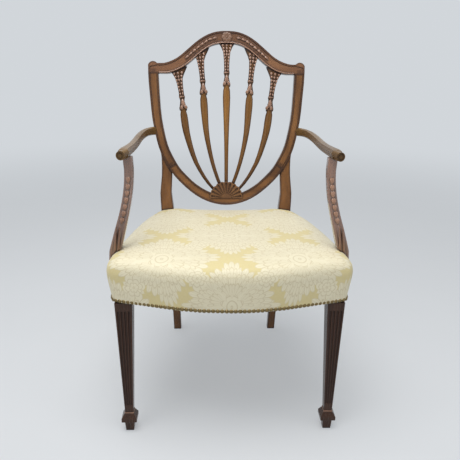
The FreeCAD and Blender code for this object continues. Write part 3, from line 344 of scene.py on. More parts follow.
def carve_husk(carving, place, along, outward, length=HUSK_LENGTH, width=HUSK_WIDTH, rise=HUSK_RISE):
    """One long bud, fuller at its foot, with a point and a groove down its middle."""
    bud = bmesh.ops.create_uvsphere(carving, u_segments=BUD_SIDES, v_segments=BUD_RINGS,
                                    radius=0.5)["verts"]
    for vert in bud:
        run = vert.co.z + 0.5
        vert.co = Vector((vert.co.x * (BUD_FOOT - BUD_TAPER * run), vert.co.z, vert.co.y))
        if vert.co.z > 0:
            vert.co.z -= GROOVE_DEPTH * max(0.0, 1.0 - abs(vert.co.x) / GROOVE_HALF)
    bmesh.ops.scale(carving, vec=(width, length, 2 * rise), verts=bud)
    bmesh.ops.transform(carving, matrix=turned_frame(place, along.normalized(), outward), verts=bud)


def carved_piece(name, carving, finish=None):
    """A carving as a piece, its faces turned outwards."""
    bmesh.ops.recalc_face_normals(carving, faces=carving.faces)
    for face in carving.faces:
        face.smooth = True
    made = piece_from(name, carving, finish or carved_mahogany_painted_highlight)
    fitted(made, "mahogany")


def along_line(line, share):
    """The place at a share of a line's length, and the way the line runs there."""
    corners = [Vector(corner) for corner in line]
    lengths = [(b - a).length for a, b in zip(corners, corners[1:])]
    rest = share * sum(lengths)
    for start, end, length in zip(corners, corners[1:], lengths):
        if rest <= length:
            return start.lerp(end, rest / length), (end - start).normalized()
        rest -= length
    return corners[-1], (corners[-1] - corners[-2]).normalized()


crest_mahogany = polished("crest_mahogany", CROSS_GRAIN, CREST_LIGHT, CREST_DARK, hollow_shade=1.0,
                          facing=SHIELD_IN, side_shade=0.5, arris_shade=0.65)
bow_mahogany = polished("bow_mahogany", CROSS_GRAIN, UPRIGHT_LIGHT, UPRIGHT_DARK, hollow_shade=1.0,
                        facing=SHIELD_IN, side_shade=0.5, arris_shade=0.8)


def paint_ground_shade(finish, mask):
    """Darkens the ground of a carving where a mask is 1, a painted shade around the carving."""
    tree = finish.node_tree
    shader = tree.nodes["Principled BSDF"]
    plain = shader.inputs["Base Color"].links[0].from_socket
    deep = blended(tree, sums(tree, "MULTIPLY", mask, GROUND_SHADE), plain, GROUND_SHADE_BROWN)
    tree.links.new(deep, shader.inputs["Base Color"])


def parts_of(tree, vector):
    """The three parts of a vector."""
    parts = node(tree, "ShaderNodeSeparateXYZ")
    tree.links.new(vector, parts.inputs[0])
    return parts.outputs


def object_place(tree):
    """The three parts of a place on a piece."""
    return parts_of(tree, node(tree, "ShaderNodeTexCoord").outputs["Object"])


# Painted shade on the crest's field near the middle, where the husks are carved.
crest_tree = crest_mahogany.node_tree
crest_across = sums(crest_tree, "ABSOLUTE", object_place(crest_tree)[0])
paint_ground_shade(crest_mahogany,
             contrast(crest_tree, crest_across, -CARVED_SLOPE, CARVED_SLOPE * CARVED_HALF))
# The carved husks and beads take a paler mahogany, a painted highlight.
carved_mahogany_painted_highlight = polished("carved_mahogany_painted_highlight", UPRIGHT_GRAIN, CARVED_HIGHLIGHT_LIGHT, CARVED_HIGHLIGHT_DARK, hollow_shade=1.0,
                           coat=0.45)
shaped("serpentine_crest", "crest_rail", crest_mahogany, FINE_ARRIS)
shaped("shield_bow", "lower_bow", bow_mahogany, FINE_ARRIS)

chain = bmesh.new()
for side in (-1, 1):
    for k in range(CREST_HUSKS):
        (u, v), (du, dv) = along_line(CREST_MIDDLE_LINE, (k + 0.5) / CREST_HUSKS)
        carve_husk(chain, on_shield(side * u, v, -HUSK_SINK),
                   Vector((side * du, 0, 0)) + SHIELD_UP * dv, -SHIELD_IN)
carved_piece("crest_husk_chain", chain)

patera = bmesh.new()
for k in range(PATERA_PETALS):
    turn = 2 * math.pi * k / PATERA_PETALS
    reach = Vector((math.cos(turn), 0, 0)) + SHIELD_UP * math.sin(turn)
    petal_at = on_shield(0, PATERA_PLACE, -PETAL_SINK) + reach * PATERA_RADIUS * PETAL_PLACE
    carve_husk(patera, petal_at, -reach, -SHIELD_IN, *PETAL_SIZE)
carve_husk(patera, on_shield(0, PATERA_PLACE, BUTTON_PROUD), SHIELD_UP, -SHIELD_IN, *BUTTON_SIZE)
patera_mahogany = polished("patera_mahogany", CROSS_GRAIN, PATERA_LIGHT, PATERA_DARK, hollow_shade=0.45)
carved_piece("crest_patera", patera, patera_mahogany)

# Crest bead. A fine bead is scratched along the crest's lower edge, in the paler carved mahogany,
# a painted highlight that makes it brighter than the field.
CREST_EDGE = [(0.0, 0.4805), (0.025, 0.4795), (0.050, 0.4720), (0.075, 0.4555), (0.098, 0.4355),
              (0.122, 0.4155), (0.148, 0.4000), (0.172, 0.3928), (0.192, 0.3915), (0.203, 0.3920)]
BEAD_RADIUS = 0.0017
BEAD_INSET = 0.0022

scratched = bpy.data.curves.new("scratched_line", "CURVE")
scratched.dimensions = "3D"
scratched.bevel_depth = BEAD_RADIUS
scratched.bevel_resolution = 3
scratched.resolution_u = 10
scratched.use_fill_caps = True
edge_places = [(-u, v) for u, v in reversed(CREST_EDGE[1:])] + CREST_EDGE
run_of_bead = scratched.splines.new("NURBS")
run_of_bead.points.add(len(edge_places) - 1)
for point, (u, v) in zip(run_of_bead.points, edge_places):
    point.co = (*on_shield(u, v + BEAD_INSET), 1.0)
run_of_bead.order_u = 3
run_of_bead.use_endpoint_u = True
scratch_object = bpy.data.objects.new("scratched_line", scratched)
bead_mesh = bpy.data.meshes.new_from_object(scratch_object)
bead_mesh.materials.clear()
bead_mesh.materials.append(carved_mahogany_painted_highlight)
bpy.data.objects.remove(scratch_object)
fitted(placed_object("crest_edge_bead", bead_mesh), "mahogany")

# Splats. Five slim blades stand on the fan and spread to the crest. Each head flares and is carved
# with two columns of husks and a third between them near its top, over a turned ring, a bud and a
# bell.
BLADE_LIGHT = (0.370, 0.175, 0.040)
BLADE_DARK = (0.150, 0.062, 0.015)
SMALL_ARRIS = 0.0004
SPLAT_SET_BACK = 0.003
# Foot and top of each carved head on the shield, rows of husks, and a share by which painted light and
# shade scale the blade's colours
SPLAT_HEADS = {
    "splat_centre": ((0.0, 0.398), (0.0, 0.478), 9, 1.05),
    "splat_inner": ((0.0724, 0.373), (0.0815, 0.452), 8, 0.75),
    "splat_outer": ((0.1350, 0.326), (0.1470, 0.396), 7, 0.66),
}
HEAD_COLUMN_LOW = 0.0036
HEAD_COLUMN_HIGH = 0.0130
HEAD_FLARE = 2.2
HEAD_WAIST = 0.20
HEAD_SINK = 0.0006
HEAD_HUSK_LENGTH = 0.0100
HEAD_HUSK_WIDTH = 0.0058
HEAD_HUSK_GROWTH = 0.0022
HEAD_HUSK_RISE = 0.0028
HEAD_GROUND_SLOPE = 300.0
THIRD_COLUMN = 0.6
THIRD_HUSK_WIDTH = 0.0070
RING_DROP = 0.003
RING_SIZE = (0.0180, 0.0062, 0.0036)
NECK_DROP = 0.021
NECK_SIZE = (0.0270, 0.0135, 0.0050)
BELL_DROP = 0.033
LOBE_OUT = 0.0055
LOBE_LEAN = 0.35
LOBE_SIZE = (0.0165, 0.0110, 0.0046)


def splat_finish(name, ring, painted_light_share):
    """Blade mahogany lightened or darkened by painted light, with painted shade on the ground of the
    carved head above the ring.
    """
    # Painted light and shade: one colour pair scaled for each splat, the centre lightest.
    light, dark = (tuple(part * painted_light_share for part in colour) for colour in (BLADE_LIGHT, BLADE_DARK))
    made = polished(name, UPRIGHT_GRAIN, light, dark, hollow_shade=1.0, coat=0.08, facing=SHIELD_IN,
                    side_shade=0.8, arris_shade=1.0, gleam=0.2)
    tree = made.node_tree
    parts = object_place(tree)
    # Painted shade on the carved head's ground above the ring.
    height = sums(tree, "ADD", sums(tree, "MULTIPLY", parts[1], SHIELD_UP.y),
                  sums(tree, "MULTIPLY", parts[2], SHIELD_UP.z))
    ring_height = ring + SHIELD_FOOT.dot(SHIELD_UP)
    paint_ground_shade(made, contrast(tree, height, HEAD_GROUND_SLOPE, -HEAD_GROUND_SLOPE * ring_height))
    return made


def carve_head(carving, foot, top, rows, side):
    """Columns of husks that part as the head flares."""
    foot = Vector((side * foot[0], foot[1]))
    top = Vector((side * top[0], top[1]))
    run = (top - foot).normalized()
    across = Vector((run.y, -run.x))
    for k in range(rows):
        share = (k + 0.5) / rows
        spread = HEAD_COLUMN_LOW + (HEAD_COLUMN_HIGH - HEAD_COLUMN_LOW) * share ** HEAD_FLARE
        side_width = HEAD_HUSK_WIDTH + HEAD_HUSK_GROWTH * share
        columns = [(-1, side_width), (1, side_width)]
        if share > THIRD_COLUMN:
            columns.append((0, THIRD_HUSK_WIDTH))
        for column, width in columns:
            place = foot.lerp(top, share) + across * spread * column
            carve_husk(carving, on_shield(place.x, place.y, -SPLAT_SET_BACK - HEAD_SINK),
                       Vector((-run.x, 0, 0)) - SHIELD_UP * run.y, -SHIELD_IN,
                       HEAD_HUSK_LENGTH, width, HEAD_HUSK_RISE)


def carve_neck(carving, foot, top, side):
    """A ring, a bud under it, and a bell with a lobe at each side over the blade."""
    line = Vector((side * (top[0] - foot[0]), top[1] - foot[1])).normalized()
    start = Vector((side * foot[0], foot[1]))
    up = Vector((line.x, 0, 0)) + SHIELD_UP * line.y
    across = Vector((1, 0, 0)) - up * line.x
    ring, neck, bell = (on_shield(start.x - line.x * drop, start.y - line.y * drop, -SPLAT_SET_BACK)
                        for drop in (RING_DROP, NECK_DROP, BELL_DROP))
    carve_husk(carving, ring, across, -SHIELD_IN, *RING_SIZE)
    carve_husk(carving, neck, up, -SHIELD_IN, *NECK_SIZE)
    for lobe in (-1, 1):
        carve_husk(carving, bell + across * (LOBE_OUT * lobe), up - across * (LOBE_LEAN * lobe),
                   -SHIELD_IN, *LOBE_SIZE)


for name, (foot, top, rows, painted_light_share) in SPLAT_HEADS.items():
    blade_mahogany = splat_finish("mahogany_of_" + name, foot[1], painted_light_share)
    for suffix, side in (("_left", -1), ("_right", 1)) if foot[0] else (("", 1),):
        solid = joined_solid(name + suffix)
        for vert in solid.verts:
            up = (vert.co - SHIELD_FOOT).dot(SHIELD_UP)
            rise = (up - foot[1]) / (top[1] - foot[1])
            if 0.0 < rise < 1.0:
                middle = side * (foot[0] + (top[0] - foot[0]) * rise)
                narrowed = 1.0 - HEAD_WAIST * math.sin(math.pi * rise)
                vert.co.x = middle + (vert.co.x - middle) * narrowed
        splat = piece_from("carved_" + name + suffix, solid, blade_mahogany)
        eased(splat, SMALL_ARRIS)
        fitted(splat, "mahogany", name + suffix)
        husks = bmesh.new()
        carve_head(husks, foot, top, rows, side)
        carve_neck(husks, foot, top, side)
        carved_piece("husks_of_" + name + suffix, husks)

# Fan. A half-round boss planted on the bow, carved with flutes that spread from a small hub to
# a scalloped edge. The splats' pegs end in it.
FAN_LIGHT = (0.27, 0.135, 0.052)
FAN_DARK = (0.075, 0.030, 0.012)

fan_mahogany = polished("fan_mahogany", UPRIGHT_GRAIN, FAN_LIGHT, FAN_DARK, hollow_shade=1.0)
shaped("fluted_fan", "fan_boss", fan_mahogany, SMALL_ARRIS)

# Front legs. Square and tapered, with stopped flutes on the faces that show, and a flared square
# collar over a short toe. A fine bead runs round the leg at the top of the collar, in the paler
# carved mahogany as a painted highlight.
FRONT_LEG_LIGHT = (0.076, 0.032, 0.016)
FRONT_LEG_DARK = (0.026, 0.011, 0.006)
FRONT_LEG_ARRIS = 0.0005
BEAD_PLACE = (0.252, -0.264061, 0.053)
BEAD_SPREAD = 0.0232
BEAD_HEIGHT = 0.0026
BEAD_ROUND = 0.0008

leg_mahogany = polished("leg_mahogany", UPRIGHT_GRAIN, FRONT_LEG_LIGHT, FRONT_LEG_DARK, hollow_shade=0.9,
                        coat=0.08)
for side, sign in (("left", -1), ("right", 1)):
    shaped("fluted_front_leg_" + side, "front_leg_" + side, leg_mahogany, FRONT_LEG_ARRIS)
    band = bmesh.new()
    bmesh.ops.create_cube(band, size=1.0)
    bmesh.ops.scale(band, vec=(BEAD_SPREAD, BEAD_SPREAD, BEAD_HEIGHT), verts=band.verts)
    bmesh.ops.translate(band, vec=(sign * BEAD_PLACE[0], *BEAD_PLACE[1:]), verts=band.verts)
    bmesh.ops.bevel(band, geom=band.edges, offset=BEAD_ROUND, affect="EDGES", segments=3,
                    profile=0.5, material=-1)
    fitted(piece_from("collar_bead_" + side, band, carved_mahogany_painted_highlight), "mahogany")

# Seat frame. Rails of beech with a glue block screwed into each corner, left from the plane and
# seen only from below, with their screws and the tacks of the webbing.
BEECH_NODES = ("front_rail", "back_rail", "side_rail_left", "side_rail_right",
               "front_corner_block_left", "front_corner_block_right", "rear_corner_block_left",
               "rear_corner_block_right")
STEEL_NODES = ("arm_screws", "arm_support_screws", "corner_block_screws")
IRON_NODES = ("webbing_tacks",)
BEECH_LIGHT = (0.50, 0.33, 0.18)
BEECH_DARK = (0.36, 0.22, 0.11)
STEEL_NOISE = (900.0,)
STEEL_DARK = (0.30, 0.30, 0.31)
STEEL_LIGHT = (0.50, 0.50, 0.50)
STEEL_ROUGHNESS = (0.3, 0.25)


def worn_metal(name, drift, low, high, roughness):
    """Metal whose colour and gloss drift over its surface."""
    made, tree, shader = material(name)
    shader.inputs["Metallic"].default_value = 1.0
    drifting = noise(tree, placed_pattern(tree, (1, 1, 1)), *drift)
    tree.links.new(blended(tree, drifting, low, high), shader.inputs["Base Color"])
    tree.links.new(sums(tree, "MULTIPLY_ADD", drifting, *roughness), shader.inputs["Roughness"])
    return made


beech = polished("planed_beech", CROSS_GRAIN, BEECH_LIGHT, BEECH_DARK, hollow_shade=0.3, coat=0.0)
turned_steel = worn_metal("turned_steel", STEEL_NOISE, STEEL_DARK, STEEL_LIGHT, STEEL_ROUGHNESS)
blued_iron = turned_steel.copy()
blued_iron.name = "blued_iron"
blued_iron.node_tree.nodes["Principled BSDF"].inputs["Metallic"].default_value = 0.8
for finish, names in ((beech, BEECH_NODES), (turned_steel, STEEL_NODES), (blued_iron, IRON_NODES)):
    for name in names:
        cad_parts[name].data.materials.clear()
        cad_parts[name].data.materials.append(finish)

# Webbing and hessian. Nine jute webs are strained over the rails, over and under each other, and
# a hessian sheet is tacked above them to carry the hair.
JUTE_THREADS = 700.0
JUTE_LIGHT = (0.42, 0.32, 0.18)
JUTE_DARK = (0.24, 0.17, 0.09)
HESSIAN_THREADS = 1900.0
HESSIAN_LIGHT = (0.40, 0.30, 0.17)
HESSIAN_DARK = (0.20, 0.14, 0.07)
CLOTH_BUMP = (0.6, 0.0004)
UPWARD_NORMAL = 0.5

weave_group, weave_in, weave_out = group_tree(
    "plain_weave", [("Vector", "Vector"), ("Threads", "Float")],
    [("Over", "Float"), ("Height", "Float")])
thread = maths_of(weave_group)
spread = parts_of(weave_group, weave_in.outputs["Vector"])
warp, weft = (thread("SINE", thread("MULTIPLY", spread[way], weave_in.outputs["Threads"]))
              for way in (0, 1))
crossing = thread("MULTIPLY", warp, weft)
weave_group.links.new(thread("MULTIPLY_ADD", crossing, 0.5, 0.5), weave_out.inputs["Over"])
weave_group.links.new(thread("ADD", thread("ABSOLUTE", warp), thread("ABSOLUTE", weft)),
                      weave_out.inputs["Height"])


def woven(name, threads, light, dark):
    """Plain cloth of two shades of thread."""
    made, tree, shader = material(name)
    weave = node(tree, "ShaderNodeGroup", node_tree=weave_group)
    weave.inputs["Threads"].default_value = threads
    tree.links.new(placed_pattern(tree, (1, 1, 1)), weave.inputs["Vector"])
    tree.links.new(blended(tree, weave.outputs["Over"], dark, light), shader.inputs["Base Color"])
    shader.inputs["Roughness"].default_value = 0.9
    raised(tree, shader, weave.outputs["Height"], *CLOTH_BUMP)
    return made


jute = woven("jute_web", JUTE_THREADS, JUTE_LIGHT, JUTE_DARK)
shaped("strained_webs", "webbing_straps", jute, FINE_ARRIS, slot="webbing")
hessian_cloth = woven("hessian_weave", HESSIAN_THREADS, HESSIAN_LIGHT, HESSIAN_DARK)
sheet_mesh = joined_solid("hessian_cloth")
bmesh.ops.delete(sheet_mesh, geom=[face for face in sheet_mesh.faces if face.normal.z < UPWARD_NORMAL],
                 context="FACES")
hessian_area = sum(face.calc_area() for face in sheet_mesh.faces)
hessian = piece_from("hessian_sheet", sheet_mesh, hessian_cloth)
fitted(hessian, "hessian", "hessian_cloth")

# Arms. Shaped from the solid, they sweep forward and outward from the shield's sides and end in a
# small outward scroll with a ringed eye, and each is screwed through the side of the shield.
ARM_GRAIN = (55.0, 5.0, 55.0)
ARM_LIGHT = (0.280, 0.165, 0.055)
ARM_DARK = (0.110, 0.058, 0.020)
ARM_ARRIS = 0.0008

# Painted shade on the arms' faces that turn away from straight up.
arm_mahogany = polished("arm_mahogany", ARM_GRAIN, ARM_LIGHT, ARM_DARK, coat=0.1,
                        facing=(0.0, 0.0, 1.0), side_shade=0.45, gleam=0.2)
for side in ("left", "right"):
    shaped("scrolled_arm_" + side, "arm_" + side, arm_mahogany, ARM_ARRIS)

# Arm supports. They curve up from the outside of the side rails, screwed from within, and their
# fronts are carved: a falling chain of husks above, and a long pointed leaf below.
SUPPORT_LIGHT = (0.330, 0.170, 0.105)
SUPPORT_DARK = (0.130, 0.060, 0.036)
SUPPORT_ROUND = 0.0040
SUPPORT_LINE = [(0.2780, 0.4330, -0.1890), (0.2715, 0.4826, -0.1924), (0.2635, 0.5131, -0.1904),
                (0.2540, 0.5489, -0.1849), (0.2465, 0.5847, -0.1777), (0.2420, 0.6205, -0.1701),
                (0.2405, 0.6500, -0.1652)]
SUPPORT_HUSK_SPAN = (0.42, 0.93)
SUPPORT_HUSKS = 7
SUPPORT_HUSK_SIZE = (0.0185, 0.0125, 0.0040)
LEAF_MIDDLE = 0.20
LEAF_HALF_PART = 0.0042
LEAF_SIZE = (0.095, 0.0078, 0.0036)
FORWARD = Vector((0, -1, 0))

support_mahogany = polished("support_mahogany", UPRIGHT_GRAIN, SUPPORT_LIGHT, SUPPORT_DARK,
                            hollow_shade=0.5, coat=1.0, side_shade=0.2, gleam=0.9)
for side, sign in (("left", -1), ("right", 1)):
    shaped("curved_support_" + side, "arm_support_" + side, support_mahogany, SUPPORT_ROUND)
    carving = bmesh.new()
    line = [(sign * x, y, z) for x, z, y in SUPPORT_LINE]
    low, high = SUPPORT_HUSK_SPAN
    for k in range(SUPPORT_HUSKS):
        place, way = along_line(line, low + (high - low) * (k + 0.5) / SUPPORT_HUSKS)
        carve_husk(carving, place, -way, FORWARD, *SUPPORT_HUSK_SIZE)
    place, way = along_line(line, LEAF_MIDDLE)
    for half in (-1, 1):
        carve_husk(carving, place + Vector((LEAF_HALF_PART * half, 0, 0)), way, FORWARD, *LEAF_SIZE)
    carved_piece("support_husks_" + side, carving)

# Seat. Curled hair under wadding is drawn down by a silk damask cover, which is pulled over the
# rails and nailed along their lower edge. It crowns, falls a little to the back, and bulges over
# the rails where the stuffing rolls forward.
SEAT_VOXEL = 0.005
HEM_TOP = 0.36
HEM_DROP = 0.014
HEM_CUT = 0.3535
SMOOTH_ROUNDS = 2
SMOOTH_SHARE = 0.4
NAIL_LINE = 0.374
SEAT_PRESSURE = 4.0
SEAT_FRAMES = 20
SEAT_SWELL = 0.004
FORM_HOLD = 0.8
# Start and length of each fade; a start below zero is measured downward
CORNER_FLARE = 0.004
FLARE_ACROSS = (0.225, 0.06)
FLARE_FORWARD = (0.10, 0.12)
FLARE_ABOVE = (0.37, 0.04)
FLARE_BELOW = (-0.47, 0.03)
REAR_DIP = 0.006
REAR_DIP_HALF = 0.150
REAR_DIP_REACH = 0.12
REAR_DIP_ABOVE = (0.40, 0.05)
SHOULDER = 0.455
LEVEL_NORMAL = 0.05
SILK_THICKNESS = 0.0018

solid_seat = joined_solid("seat_cover")
hull = bmesh.ops.convex_hull(solid_seat, input=solid_seat.verts)
spare = [part for part in hull["geom_interior"] + hull["geom_unused"]
         if isinstance(part, bmesh.types.BMVert) and part.is_valid]
bmesh.ops.delete(solid_seat, geom=spare, context="VERTS")
kept = {face for face in hull["geom"] if isinstance(face, bmesh.types.BMFace) and face.is_valid}
bmesh.ops.delete(solid_seat, geom=[face for face in solid_seat.faces if face not in kept],
                 context="FACES")
bmesh.ops.recalc_face_normals(solid_seat, faces=solid_seat.faces)
for vert in solid_seat.verts:
    if vert.co.z < HEM_TOP:
        vert.co.z -= HEM_DROP

damask, damask_tree, damask_shader = material("cream_and_gold_damask")
seat = piece_from("crowned_damask_seat", solid_seat, damask)
bpy.context.view_layer.objects.active = seat
form = BVHTree.FromPolygons([vert.co.copy() for vert in seat.data.vertices],
                            [tuple(face.vertices) for face in seat.data.polygons])
remesh = seat.modifiers.new("fine", "REMESH")
remesh.mode = "VOXEL"
remesh.voxel_size = SEAT_VOXEL
bpy.ops.object.select_all(action="DESELECT")
seat.select_set(True)
bpy.ops.object.modifier_apply(modifier=remesh.name)

skin = bmesh.new()
skin.from_mesh(seat.data)
bmesh.ops.bisect_plane(skin, geom=skin.verts[:] + skin.edges[:] + skin.faces[:],
                       plane_co=(0, 0, HEM_CUT), plane_no=(0, 0, -1), clear_outer=True)
for _ in range(SMOOTH_ROUNDS):
    inner = [vert for vert in skin.verts if not vert.is_boundary]
    bmesh.ops.smooth_vert(skin, verts=inner, factor=SMOOTH_SHARE, use_axis_x=True, use_axis_y=True,
                          use_axis_z=True)
skin.to_mesh(seat.data)
skin.free()

start_places = [vert.co.copy() for vert in seat.data.vertices]
nailed = seat.vertex_groups.new(name="nailed")
nailed.add([vert.index for vert in seat.data.vertices if vert.co.z < NAIL_LINE], 1.0, "REPLACE")
cloth = seat.modifiers.new("strain", "CLOTH")
cloth.settings.use_pressure = True
cloth.settings.uniform_pressure_force = SEAT_PRESSURE
cloth.settings.effector_weights.gravity = 0.0
cloth.settings.vertex_group_mass = "nailed"
cloth.point_cache.frame_end = SEAT_FRAMES
for step in range(1, SEAT_FRAMES + 1):
    bpy.context.scene.frame_set(step)
bpy.ops.object.modifier_apply(modifier=cloth.name)
bpy.context.scene.frame_set(1)
for vert, start in zip(seat.data.vertices, start_places):
    move = vert.co - start
    if move.length > SEAT_SWELL:
        vert.co = start + move.normalized() * SEAT_SWELL


def past(value, start, length):
    """How far a value has got from a start along a length, between 0 and 1."""
    return min(1.0, max(0.0, (value - start) / length))


drape = bmesh.new()
drape.from_mesh(seat.data)
rear_edge = max(vert.co.y for vert in drape.verts)
for vert in drape.verts:
    near = form.find_nearest(vert.co)[0]
    vert.co = vert.co.lerp(near, FORM_HOLD)
    corner = past(abs(vert.co.x), *FLARE_ACROSS) * past(-vert.co.y, *FLARE_FORWARD)
    level_share = past(vert.co.z, *FLARE_ABOVE) * past(-vert.co.z, *FLARE_BELOW)
    vert.co.x += math.copysign(CORNER_FLARE, vert.co.x) * corner * level_share
    back = max(0.0, 1.0 - (rear_edge - vert.co.y) / REAR_DIP_REACH)
    back *= max(0.0, 1.0 - (vert.co.x / REAR_DIP_HALF) ** 2)
    vert.co.z -= REAR_DIP * back * past(vert.co.z, *REAR_DIP_ABOVE)
drape.normal_update()
cloth_map = drape.loops.layers.uv.new("cloth")
for face in drape.faces:
    face.smooth = True
    for loop in face.loops:
        out = Vector((loop.vert.normal.x, loop.vert.normal.y))
        if out.length > LEVEL_NORMAL:
            out.normalize()
        drop = max(0.0, SHOULDER - loop.vert.co.z)
        loop[cloth_map].uv = (loop.vert.co.x + out.x * drop, loop.vert.co.y + out.y * drop)
drape.to_mesh(seat.data)
drape.free()
finer = seat.modifiers.new("finer", "SUBSURF")
finer.levels = 1
finer.render_levels = 1
fold = seat.modifiers.new("thickness", "SOLIDIFY")
fold.thickness = SILK_THICKNESS
fold.offset = -1.0
fitted(seat, "damask", "seat_cover", "wadding", "hair_stuffing")

PALMETTE_PARTS = ("X", "Y", "Angle", "Length", "Spread", "Lobes")
FIGURE_EDGE = 900.0
PALMETTE_ROUND = 0.32
PALMETTE_SCALLOP = (0.20, 0.80)
RAY_CONTRAST = (-3.2, 1.0)
RIM_LINE = (0.0014, -700.0)
INNER_LINE = (0.66, -22.0)
RIBS = 6.0
RIB_CONTRAST = (0.9, -0.45)

palmette_group, palmette_in, palmette_out = group_tree(
    "woven_palmette",
    [("Vector", "Vector")] + [(label, "Float") for label in PALMETTE_PARTS],
    [("Figure", "Float"), ("Vein", "Float")])
petal = maths_of(palmette_group)
palmette_place = parts_of(palmette_group, palmette_in.outputs["Vector"])
off_x, off_y = (petal("SUBTRACT", palmette_place[way], palmette_in.outputs[label])
                for way, label in ((0, "X"), (1, "Y")))
cosine = petal("COSINE", palmette_in.outputs["Angle"])
sine = petal("SINE", palmette_in.outputs["Angle"])
run = petal("ADD", petal("MULTIPLY", off_x, cosine), petal("MULTIPLY", off_y, sine))
aside = petal("SUBTRACT", petal("MULTIPLY", off_y, cosine), petal("MULTIPLY", off_x, sine))
fan_turn = petal("DIVIDE", petal("ARCTAN2", aside, run), palmette_in.outputs["Spread"])
fan_turn = petal("MAXIMUM", petal("MINIMUM", fan_turn, 1.0), -1.0)
reach = petal("SQRT", petal("ADD", petal("MULTIPLY", run, run), petal("MULTIPLY", aside, aside)))
roundness = petal("COSINE", petal("MULTIPLY", fan_turn, math.pi / 2))
roundness = petal("POWER", petal("MAXIMUM", roundness, 0.0), PALMETTE_ROUND)
half_lobes = petal("MULTIPLY", palmette_in.outputs["Lobes"], math.pi / 2)
lobe_turn = petal("ADD", petal("MULTIPLY", fan_turn, half_lobes), math.pi / 2)
scallop = petal("ABSOLUTE", petal("SINE", lobe_turn))
palmette_edge = petal("MULTIPLY", petal("MULTIPLY", roundness, palmette_in.outputs["Length"]),
                      petal("MULTIPLY_ADD", scallop, *PALMETTE_SCALLOP))
inside = petal("SUBTRACT", palmette_edge, reach)
figure = petal("MULTIPLY", inside, FIGURE_EDGE, clamp=True)
palmette_group.links.new(figure, palmette_out.inputs["Figure"])


def petal_line(value, place, slope):
    """A line where a value passes a place."""
    return contrast(palmette_group, petal("ABSOLUTE", petal("SUBTRACT", value, place)), slope, 1.0)


rays = contrast(palmette_group, scallop, *RAY_CONTRAST)
inner_share = petal("DIVIDE", reach, petal("MAXIMUM", palmette_edge, 0.001))
fine_ribs = contrast(palmette_group, petal("SINE", petal("MULTIPLY", lobe_turn, RIBS)), *RIB_CONTRAST)
vein = petal("MAXIMUM", petal("MAXIMUM", rays, petal_line(inside, *RIM_LINE)),
             petal("MAXIMUM", petal_line(inner_share, *INNER_LINE), fine_ribs))
palmette_group.links.new(petal("MULTIPLY", vein, figure), palmette_out.inputs["Vein"])

# Palmettes of one half of a medallion, the undermost first: foot across and along, angle, length,
# half spread and lobes
MEDALLION_PALMETTES = [
    (0.060, 0.000, 0, 0.078, 32, 5), (0.000, 0.060, 90, 0.068, 36, 5),
    (0.000, -0.060, -90, 0.074, 40, 7), (0.044, 0.040, 43, 0.046, 56, 5),
    (0.044, -0.040, -43, 0.046, 56, 5), (0.046, 0.018, 20, 0.066, 46, 5),
    (0.046, -0.018, -20, 0.066, 46, 5), (0.016, 0.044, 72, 0.062, 46, 5),
    (0.016, -0.044, -72, 0.062, 46, 5), (0.018, 0.010, 24, 0.058, 42, 5),
    (0.018, -0.012, -28, 0.058, 42, 5), (0.004, 0.020, 74, 0.058, 44, 5),
    (0.004, -0.022, -76, 0.058, 44, 5),
]
DAMASK_ACROSS = 0.320
DAMASK_ALONG = 0.295
DAMASK_START = -0.109
# Radius, lobes, and depth and level of the scalloped edge as shares of the radius
BODY = (0.080, 7.0, 0.14, 0.86)
ROSETTE = (0.030, 3.5, 0.22, 0.78)
FLOWER = (0.030, 4.0, 0.35, 0.7)
RING_CONTRAST = (2.0, -1.2)
ROSETTE_RINGS = 19.0
ROSETTE_RAYS = (-4.0, 1.0)
FLOWER_RINGS = 520.0
CREAM = (0.80, 0.73, 0.52)
GOLD = (0.69, 0.58, 0.27)
VEIN = (0.57, 0.47, 0.25)
VEIN_SHARE = 0.85
SLUB_NOISE = (160.0, 3.0)
SLUB_SHARE = 0.16
SLUB_PALE = (0.95, 0.90, 0.76)
SILK_ROUGHNESS = (-0.18, 0.68)
SILK_THREADS = 5200.0
FIGURE_RELIEF = 1.6
THREAD_RELIEF = 0.3
DAMASK_BUMP = (0.5, 0.0003)

silk = maths_of(damask_tree)
fabric = placed_pattern(damask_tree, (1, 1, 1), "UV")
fabric_place = parts_of(damask_tree, fabric)


def from_centre(way, start, pitch):
    """Distance to the nearest repeat along one way of the fabric."""
    shifted = silk("SUBTRACT", fabric_place[way], start)
    return silk("WRAP", shifted, pitch / 2, -pitch / 2)


def diamond(x, y):
    """How far out a place lies in the diamond of one repeat."""
    return silk("ADD", silk("DIVIDE", silk("ABSOLUTE", x), DAMASK_ACROSS),
                silk("DIVIDE", silk("ABSOLUTE", y), DAMASK_ALONG))


def scalloped(turn, radius, lobes, depth, level):
    """The scallops round a turn and the edge that they give a figure."""
    scallops = silk("ABSOLUTE", silk("SINE", silk("MULTIPLY", turn, lobes)))
    return scallops, silk("MULTIPLY_ADD", scallops, radius * depth, radius * level)


def ringed(value, pitch):
    """Fine rings over a value."""
    return contrast(damask_tree, silk("SINE", silk("MULTIPLY", value, pitch)), *RING_CONTRAST)


def laid_over(mask, top, under):
    """A value laid over another where a mask is 1."""
    return silk("MULTIPLY_ADD", silk("SUBTRACT", 1.0, mask), under, top)


